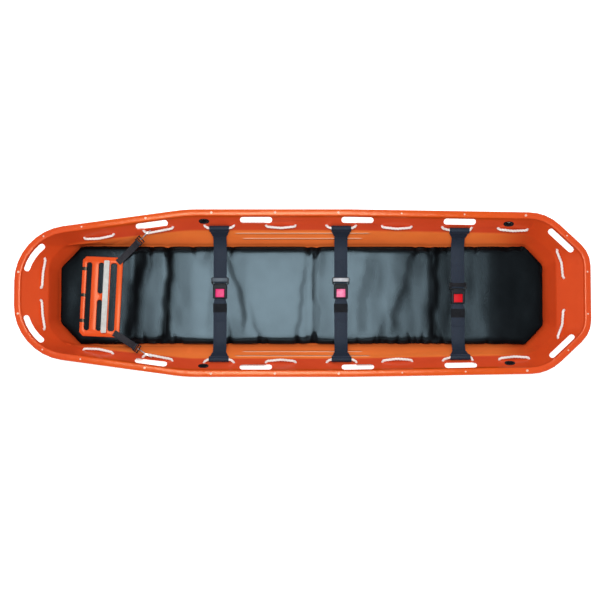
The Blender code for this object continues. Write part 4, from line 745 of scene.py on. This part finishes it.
ropeSet = {
    # millimetres, head end to foot end on the +Y side; the other side mirrors it
    "half": [
        (995.4, 57.5, 115), (992.7, 61.5, 118), (987.4, 61.5, 124), (984.8, 65.5, 127),
        (980.2, 116.4, 131.3), (964, 160.1, 127.2), (963.4, 165.3, 125.1), (967.9, 170.1, 120.5),
        (967.3, 175.3, 118.4), (926.3, 215.8, 120.4), (907.6, 231.4, 121.6), (886.1, 243.6, 122.9),
        (862.8, 251.8, 124.5), (857.7, 252.6, 124.9), (853.4, 249.8, 127.2), (852.7, 243, 131.5),
        (848.3, 240.3, 133.8), (796.9, 237.4, 137.5), (745, 243.5, 134.5), (741, 247, 132.4),
        (741.1, 253.9, 128.4), (737.2, 257.4, 126.3), (645.1, 259.2, 126.5), (641, 255.8, 128.5),
        (640.9, 248.9, 132.6), (636.8, 245.6, 134.6), (634.3, 239.6, 138.2), (553.3, 241.1, 138.3),
        (532.8, 247.5, 134.7), (528.9, 251, 132.7), (529, 257.9, 128.6), (525.1, 261.4, 126.6),
        (417.2, 263.5, 126.7), (413.1, 260.1, 128.8), (413, 253.2, 132.9), (408.9, 249.9, 134.9),
        (356.9, 245.7, 138), (305, 251.8, 135), (301, 255.3, 133), (301.2, 262.2, 128.9),
        (297.2, 265.7, 126.9), (207, 267.4, 127), (203, 264.1, 129), (202.8, 257.2, 133.1),
        (198.8, 253.8, 135.2), (187.3, 248, 138.7), (106.4, 248.1, 138.7), (94.9, 254.2, 135.1),
        (90.9, 257.6, 133.1), (90.9, 264.5, 129.1), (86.9, 268, 127.1), (-22.1, 268, 127.1),
        (-26.1, 264.5, 129.1), (-26.1, 257.6, 133.1), (-30.1, 254.2, 135.1), (-82.1, 249, 138.1),
        (-134.1, 254.2, 135.1), (-138.1, 257.6, 133.1), (-138.1, 264.5, 129.1), (-142.1, 268, 127.1),
        (-254.9, 268, 127.1), (-258.9, 264.5, 129.1), (-258.9, 257.6, 133.1), (-262.9, 254.2, 135.1),
        (-274.4, 248.1, 138.7), (-355.4, 248.1, 138.7), (-366.9, 254.2, 135.1), (-370.9, 257.6, 133.1),
        (-370.9, 264.5, 129.1), (-374.9, 268, 127.1), (-401.8, 268, 127.1), (-425, 267.5, 127.1),
        (-448.4, 266.2, 127.2), (-471.5, 263.9, 127.3), (-487.5, 262.1, 127.4), (-491.1, 258.1, 129.3),
        (-490.2, 251.1, 133.1), (-493.8, 247.2, 135), (-586.6, 228.9, 138.3), (-597.1, 234.8, 134.8),
        (-601.4, 237.9, 133), (-602.3, 245.1, 129.5), (-606.7, 248.1, 127.7), (-678.5, 239.7, 127.8),
        (-711.5, 235.9, 128), (-715.1, 231.8, 129.6), (-714.2, 224.6, 132.9), (-717.8, 220.5, 134.6),
        (-768.8, 208.9, 137.1), (-820.9, 207.6, 132.9), (-825.3, 210.7, 131.2), (-826.2, 218.1, 128.2),
        (-830.6, 221.2, 126.5), (-885, 214, 124.5), (-905.6, 209.1, 123.4), (-925, 200.4, 122),
        (-942.2, 188.3, 120.6), (-956.5, 173.9, 119.4), (-969.7, 157.6, 117.9), (-980.9, 140.8, 116.9),
        (-979.9, 135.9, 119.3), (-974.4, 133.2, 124.5), (-973.3, 128.2, 126.9), (-980.8, 80, 131.5),
        (-984.8, 28, 127), (-987.4, 24, 124), (-992.7, 24, 118), (-995.4, 20, 115),
    ],
    "strand": 0.00265, "offset": 0.00245, "lay": 0.034, "step": 0.0032, "strands": 3, "smoothing": 2,
}


def smoothLoop(points, rounds):
    for _ in range(rounds):
        count = len(points)
        points = [
            points[k] * 0.5 + (points[k - 1] + points[(k + 1) % count]) * 0.25 for k in range(count)
        ]
    return points


def evenLoop(points, step):
    # points at an even pitch round a closed line, and the line's length
    count = len(points)
    lengths = [(points[(k + 1) % count] - points[k]).length for k in range(count)]
    total = sum(lengths)
    wanted = round(total / step)
    made, k, start = [], 0, 0.0
    for number in range(wanted):
        s = total * number / wanted
        while start + lengths[k] < s:
            start += lengths[k]
            k += 1
        made.append(points[k].lerp(points[(k + 1) % count], (s - start) / lengths[k]))
    return made, total


def sideWays(tangents):
    # a direction across the line at every point, carried along without twist,
    # and the angle by which it misses itself once round
    normals = [tangents[0].orthogonal().normalized()]
    for tangent in tangents[1:]:
        normals.append((normals[-1] - tangent * normals[-1].dot(tangent)).normalized())
    last = (normals[-1] - tangents[0] * normals[-1].dot(tangents[0])).normalized()
    slip = math.atan2(tangents[0].dot(last.cross(normals[0])), last.dot(normals[0]))
    return normals, slip


def makeRope():
    half = [Vector(p) / 1000 for p in ropeSet["half"]]
    route = half + [Vector((p.x, -p.y, p.z)) for p in reversed(half)]
    route, _ = evenLoop(route, ropeSet["step"])
    route, total = evenLoop(smoothLoop(route, ropeSet["smoothing"]), ropeSet["step"])
    count = len(route)
    turns = round(total / ropeSet["lay"])
    tangents = [(route[(k + 1) % count] - route[k - 1]).normalized() for k in range(count)]
    normals, slip = sideWays(tangents)
    shape = bpy.data.curves.new("ropeStrands", "CURVE")
    shape.dimensions = "3D"
    shape.bevel_depth = ropeSet["strand"]
    shape.bevel_resolution = 1
    for strand in range(ropeSet["strands"]):
        line = shape.splines.new("POLY")
        line.points.add(count - 1)
        line.use_cyclic_u = True
        for k in range(count):
            angle = 2 * math.pi * (strand / ropeSet["strands"] + turns * k / count) + slip * k / count
            side = tangents[k].cross(normals[k])
            out = normals[k] * math.cos(angle) + side * math.sin(angle)
            line.points[k].co = (*(route[k] + out * ropeSet["offset"]), 1)
    rope = bpy.data.objects.new("ropeStrands", shape)
    bpy.context.scene.collection.objects.link(rope)
    pick(rope)
    bpy.ops.object.convert(target="MESH")
    rope = bpy.context.object
    rope.name = "lacedRope"
    bpy.ops.object.shade_smooth()
    dress(rope, looks["rope"])
    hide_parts("grab_rope")
    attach(rope, "stretcher")
    print("rope length", round(total, 3), "triangles", sum(len(p.vertices) - 2 for p in rope.data.polygons))


# ---- filled vinyl pad

padSet = {
    "voxel": 0.006, "shrink": 0.002, "cap": 0.006, "smoothing": 3, "fill": 0.55, "frames": 20,
    "cloth": {
        "quality": 4, "mass": 0.3, "tension_stiffness": 18, "compression_stiffness": 18,
        "bending_stiffness": 0.6, "use_pressure": True, "uniform_pressure_force": 4.0,
    },
    "upperOver": 0.010,  # the top's shaping fades in over this height above the middle
    # hollows in the top: points of the line, half width, depth, shares over which each end fades
    "folds": [
        (((-0.600, 0.17), (-0.622, 0.05), (-0.648, -0.08), (-0.655, -0.17)), 0.020, 0.0075, (0.1, 0.1)),
        (((-0.502, 0.18), (-0.504, 0.05), (-0.520, -0.10), (-0.526, -0.18)), 0.013, 0.0080, (0.05, 0.08)),
        (((-0.575, 0.19), (-0.585, 0.06), (-0.60, -0.05)), 0.008, 0.0030, (0.1, 0.8)),
        (
            ((-0.292, 0.17), (-0.262, 0.07), (-0.228, -0.03), (-0.214, -0.09), (-0.238, -0.165)),
            0.008, 0.0046, (0.1, 0.3),
        ),
        (((-0.352, 0.17), (-0.372, 0.09)), 0.010, 0.0026, (0.1, 0.8)),
        (((-0.206, 0.0), (-0.176, -0.11), (-0.138, -0.18)), 0.006, 0.0028, (0.7, 0.1)),
        (((-0.284, -0.06), (-0.276, -0.18)), 0.007, 0.0038, (0.7, 0.1)),
        (((0.018, 0.16), (0.012, 0.07), (-0.010, -0.04), (-0.018, -0.18)), 0.007, 0.0034, (0.4, 0.05)),
        (((0.050, 0.185), (0.049, 0.02), (0.054, -0.10), (0.048, -0.185)), 0.010, 0.0030, (0.05, 0.05)),
        (((0.262, 0.18), (0.242, 0.05), (0.224, -0.06), (0.216, -0.17)), 0.018, 0.0034, (0.3, 0.2)),
        (((0.322, -0.04), (0.300, -0.12), (0.292, -0.18)), 0.010, 0.0036, (0.7, 0.1)),
        (
            ((0.438, 0.175), (0.408, 0.11), (0.384, 0.02), (0.352, -0.07), (0.338, -0.16)),
            0.014, 0.0044, (0.1, 0.2),
        ),
        (((0.512, 0.185), (0.500, 0.06), (0.494, -0.08), (0.500, -0.18)), 0.014, 0.0082, (0.05, 0.1)),
        (((0.556, 0.13), (0.552, -0.14)), 0.010, 0.0030, (0.4, 0.4)),
    ],
    # short puckers that run in from the long edges: x, side, length
    "puckers": [
        (-0.566, 1, 0.05), (-0.520, 1, 0.045), (-0.585, -1, 0.05), (-0.545, -1, 0.035), (-0.470, -1, 0.04),
        (-0.455, -1, 0.03), (-0.418, 1, 0.04), (-0.262, 1, 0.05), (-0.275, -1, 0.055), (-0.160, -1, 0.05),
        (-0.130, -1, 0.03), (-0.014, -1, 0.05), (0.028, -1, 0.045), (0.040, -1, 0.03), (0.060, 1, 0.05),
        (0.018, 1, 0.04), (0.210, -1, 0.03), (0.270, -1, 0.035), (0.296, -1, 0.04), (0.318, -1, 0.03),
        (0.350, -1, 0.04), (0.408, -1, 0.05), (0.428, -1, 0.035), (0.446, -1, 0.05), (0.466, 1, 0.045),
        (0.430, 1, 0.05), (0.530, -1, 0.05), (0.545, 1, 0.04), (0.655, 1, 0.035), (0.690, -1, 0.03),
    ],
    "foldShare": 0.35, "foldFull": 0.007,  # share of the depth that is cut; depth that looks fully dark
    "wander": ((0.0045, 31, 9), (0.002, 83, 40)),  # how far the folds stray, and how fast along y and x
    "puckerDepth": 0.0045, "puckerEdge": 0.185,
    # past these the lamps' reflection ends, apart from a patch before the foot rest
    "darkHead": 0.61, "darkFoot": 0.64, "darkFade": 0.14, "darkMost": 0.72,
    "patch": ((-0.872, 0.022), (-0.01, 0.05)), "patchShare": 0.9,
    "cornerCut": 0.080,
    "seamIn": 0.0135, "seamWidth": 0.003, "seamDepth": 0.0005,
    "pipingIn": 0.008, "pipingRise": 0.006,
    # highest top, under the belts and the foot rest, where these end and how far they press round them
    "top": 0.0620, "pressed": 0.0600, "beltHalf": 0.034, "restEnd": -0.67, "pressFade": 0.08,
    "softTop": 0.002, "softShare": 0.2, "liftOff": 0.0002,
    # the upper half swells to these ends and this side, from this height over this much
    "reach": (-0.930, 0.925, 0.1945), "swellFrom": 0.040, "swellOver": 0.010,
}


def ease(share):
    return share * share * (3 - 2 * share)


def vertexPlaces(obj):
    return np.array([v.co for v in obj.data.vertices])


def movePoints(obj, places):
    obj.data.vertices.foreach_set("co", places.ravel())
    obj.data.update()


def nearLine(points, line):
    # distance in plan from many points to a line of few, and how far along it each lies, 0 to 1
    best, share = np.full(len(points), 9.0), np.zeros(len(points))
    lengths = [math.dist(a, b) for a, b in zip(line, line[1:])]
    done = 0.0
    for (ax, ay), (bx, by), length in zip(line, line[1:], lengths):
        start, way = np.array((ax, ay)), np.array((bx - ax, by - ay))
        along = np.clip((points - start) @ way / (way @ way), 0, 1)
        far = np.linalg.norm(points - start - along[:, None] * way, axis=1)
        share = np.where(far < best, (done + along * length) / sum(lengths), share)
        best = np.minimum(best, far)
        done += length
    return best, share


def foldHollows(flat):
    # how deep the folds lie under each point, and how dark they look there
    x, y = flat[:, 0], flat[:, 1]
    sunk, dark = np.zeros(len(flat)), np.zeros(len(flat))
    wander = sum(far * np.sin(y * alongY + x * alongX) for far, alongY, alongX in padSet["wander"])
    bent = flat + np.stack((wander, np.zeros(len(flat))), axis=1)
    for line, width, depth, ends in padSet["folds"]:
        far, share = nearLine(bent, line)
        fade = ease(np.clip(np.minimum((share + 0.02) / ends[0], (1.02 - share) / ends[1]), 0, 1))
        far = far / width
        # the cloth stands up a little on both sides of a hollow
        sunk += padSet["foldShare"] * depth * fade * (1.12 / (1 + far ** 2.2) - 0.12)
        dark = np.maximum(dark, min(1, depth / padSet["foldFull"]) * fade / (1 + (0.85 * far) ** 4))
    return sunk, dark


def puckerHollows(flat, sunk, dark):
    # each pucker leans a little and runs out towards the middle
    x, y = flat[:, 0], flat[:, 1]
    edge = padSet["puckerEdge"]
    for place, side, length in padSet["puckers"]:
        lean = 0.25 * math.sin(place * 57)
        inward = np.clip((side * y - (edge - length * 1.3)) / (length * 1.3), 0, 1)
        far = np.abs(x - place - lean * (0.19 - side * y)) / (0.003 + 0.005 * inward)
        sunk = sunk + padSet["puckerDepth"] * inward ** 1.3 / (1 + far ** 2.4)
        dark = np.maximum(dark, np.clip(1.7 * inward, 0, 0.95) / (1 + far ** 4))
    return sunk, dark


def darkEnds(flat, dark):
    x, y = flat[:, 0], flat[:, 1]
    past = np.maximum(x - padSet["darkHead"], -padSet["darkFoot"] - x)
    ends = ease(np.clip(past / padSet["darkFade"], 0, 1))
    (patchX, halfX), (patchY, halfY) = padSet["patch"]
    patch = np.exp(-((x - patchX) / halfX) ** 2 - ((y - patchY) / halfY) ** 2)
    return np.maximum(dark, padSet["darkMost"] * ends * (1 - padSet["patchShare"] * patch))


def edgeDistance(place, low, high):
    # in plan, to the nearest of the long sides, the ends and the cut corners
    x, fromSide = place[:, 0], high[1] - np.abs(place[:, 1])
    head, foot = high[0] - x, x - low[0]
    corners = [(end + fromSide - padSet["cornerCut"]) / math.sqrt(2) for end in (head, foot)]
    return np.minimum.reduce([fromSide, head, foot, *corners])


def pressDown(place, low):
    # nothing stands higher than the belts and the foot rest allow
    x, top, soft = place[:, 0], padSet["top"], padSet["softTop"]
    press = np.full(len(place), top)
    pressing = [np.abs(x - centre) - padSet["beltHalf"] for centre in beltSet["centres"]]
    for far in pressing + [x - padSet["restEnd"]]:
        near = ease(np.clip(1 - far / padSet["pressFade"], 0, 1))
        press = np.minimum(press, top + (padSet["pressed"] - top) * near)
    z = place[:, 2]
    z = np.where(z > press - soft, press - soft + (z - press + soft) * padSet["softShare"], z)
    place[:, 2] = np.clip(z, low[2] + padSet["liftOff"], press)


def swellOut(place):
    # the cover's upper half swells out over the ledge of the floor
    out = np.clip((place[:, 2] - padSet["swellFrom"]) / padSet["swellOver"], 0, 1)
    footward, headward, sideward = padSet["reach"]
    now = (place[:, 0].min(), place[:, 0].max(), np.abs(place[:, 1]).max())
    along = np.where(place[:, 0] < 0, footward / now[0], headward / now[1])
    place[:, 0] *= 1 + (along - 1) * out
    place[:, 1] *= 1 + (sideward / now[2] - 1) * out


def shapePad(pad, low, high):
    # folds, sewn edge and the places where something presses on the pad
    place = vertexPlaces(pad)
    normals = np.array([v.normal for v in pad.data.vertices])
    flat = place[:, :2].copy()
    upper = np.clip((place[:, 2] - (low[2] + high[2]) / 2) / padSet["upperOver"], 0, 1)
    sunk, dark = puckerHollows(flat, *foldHollows(flat))
    place[:, 2] -= sunk * upper
    # the painted shade of folds, puckers and ends, which turns the vinyl's reflection down
    mark = pad.data.attributes.new("paintedShade", "FLOAT", "POINT")
    mark.data.foreach_set("value", darkEnds(flat, dark) * upper)
    top = upper * (np.abs(normals[:, 2]) > 0.3)
    toEdge = edgeDistance(place, low, high)
    seam = np.exp(-((toEdge - padSet["seamIn"]) / padSet["seamWidth"]) ** 2)
    piping = np.exp(-((toEdge - padSet["pipingIn"]) / padSet["pipingIn"]) ** 2)  # filled right up to it
    place[:, 2] += (padSet["pipingRise"] * piping - padSet["seamDepth"] * seam) * top
    pressDown(place, low)
    swellOut(place)
    movePoints(pad, place)


def blowUp(obj):
    # a filled cover: the cloth's pressure, with every point's way from its start capped
    start = vertexPlaces(obj)
    pick(obj)
    added = obj.modifiers.new("cloth", "CLOTH")
    for key, value in padSet["cloth"].items():
        setattr(added.settings, key, value)
    added.settings.effector_weights.gravity = 0
    added.point_cache.frame_start = 1
    added.point_cache.frame_end = padSet["frames"]
    for number in range(1, padSet["frames"] + 1):
        bpy.context.scene.frame_set(number)
    bpy.ops.object.modifier_apply(modifier=added.name)
    bpy.context.scene.frame_set(1)
    moved = vertexPlaces(obj) - start
    far = np.linalg.norm(moved, axis=1)
    moved *= np.minimum(1, padSet["cap"] / np.maximum(far, 1e-9))[:, None]
    movePoints(obj, start + moved)


def makePad():
    low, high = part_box("pad")
    pad = nodeCopy("pad", "vinylPad")
    applyModifier(pad, "REMESH", mode="VOXEL", voxel_size=padSet["voxel"])
    movePoints(pad, np.array([v.co - v.normal * padSet["shrink"] for v in pad.data.vertices]))
    blowUp(pad)
    applyModifier(pad, "SMOOTH", factor=0.5, iterations=padSet["smoothing"])
    shapePad(pad, low, high)
    applyModifier(pad, "SUBSURF", levels=1, render_levels=1)
    pick(pad)
    bpy.ops.object.shade_smooth()
    dress(pad, looks["vinyl"])
    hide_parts("pad")
    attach(pad, "stretcher")
    print("pad faces", len(pad.data.polygons))


tub = finishTub()
print("tub finished")
makeRivets(tub)
print("rivets through the rim")
makeRope()
finishBelts()
print("belts finished")
finishFootRest()
print("foot rest finished")
makePad()
print("pad filled")
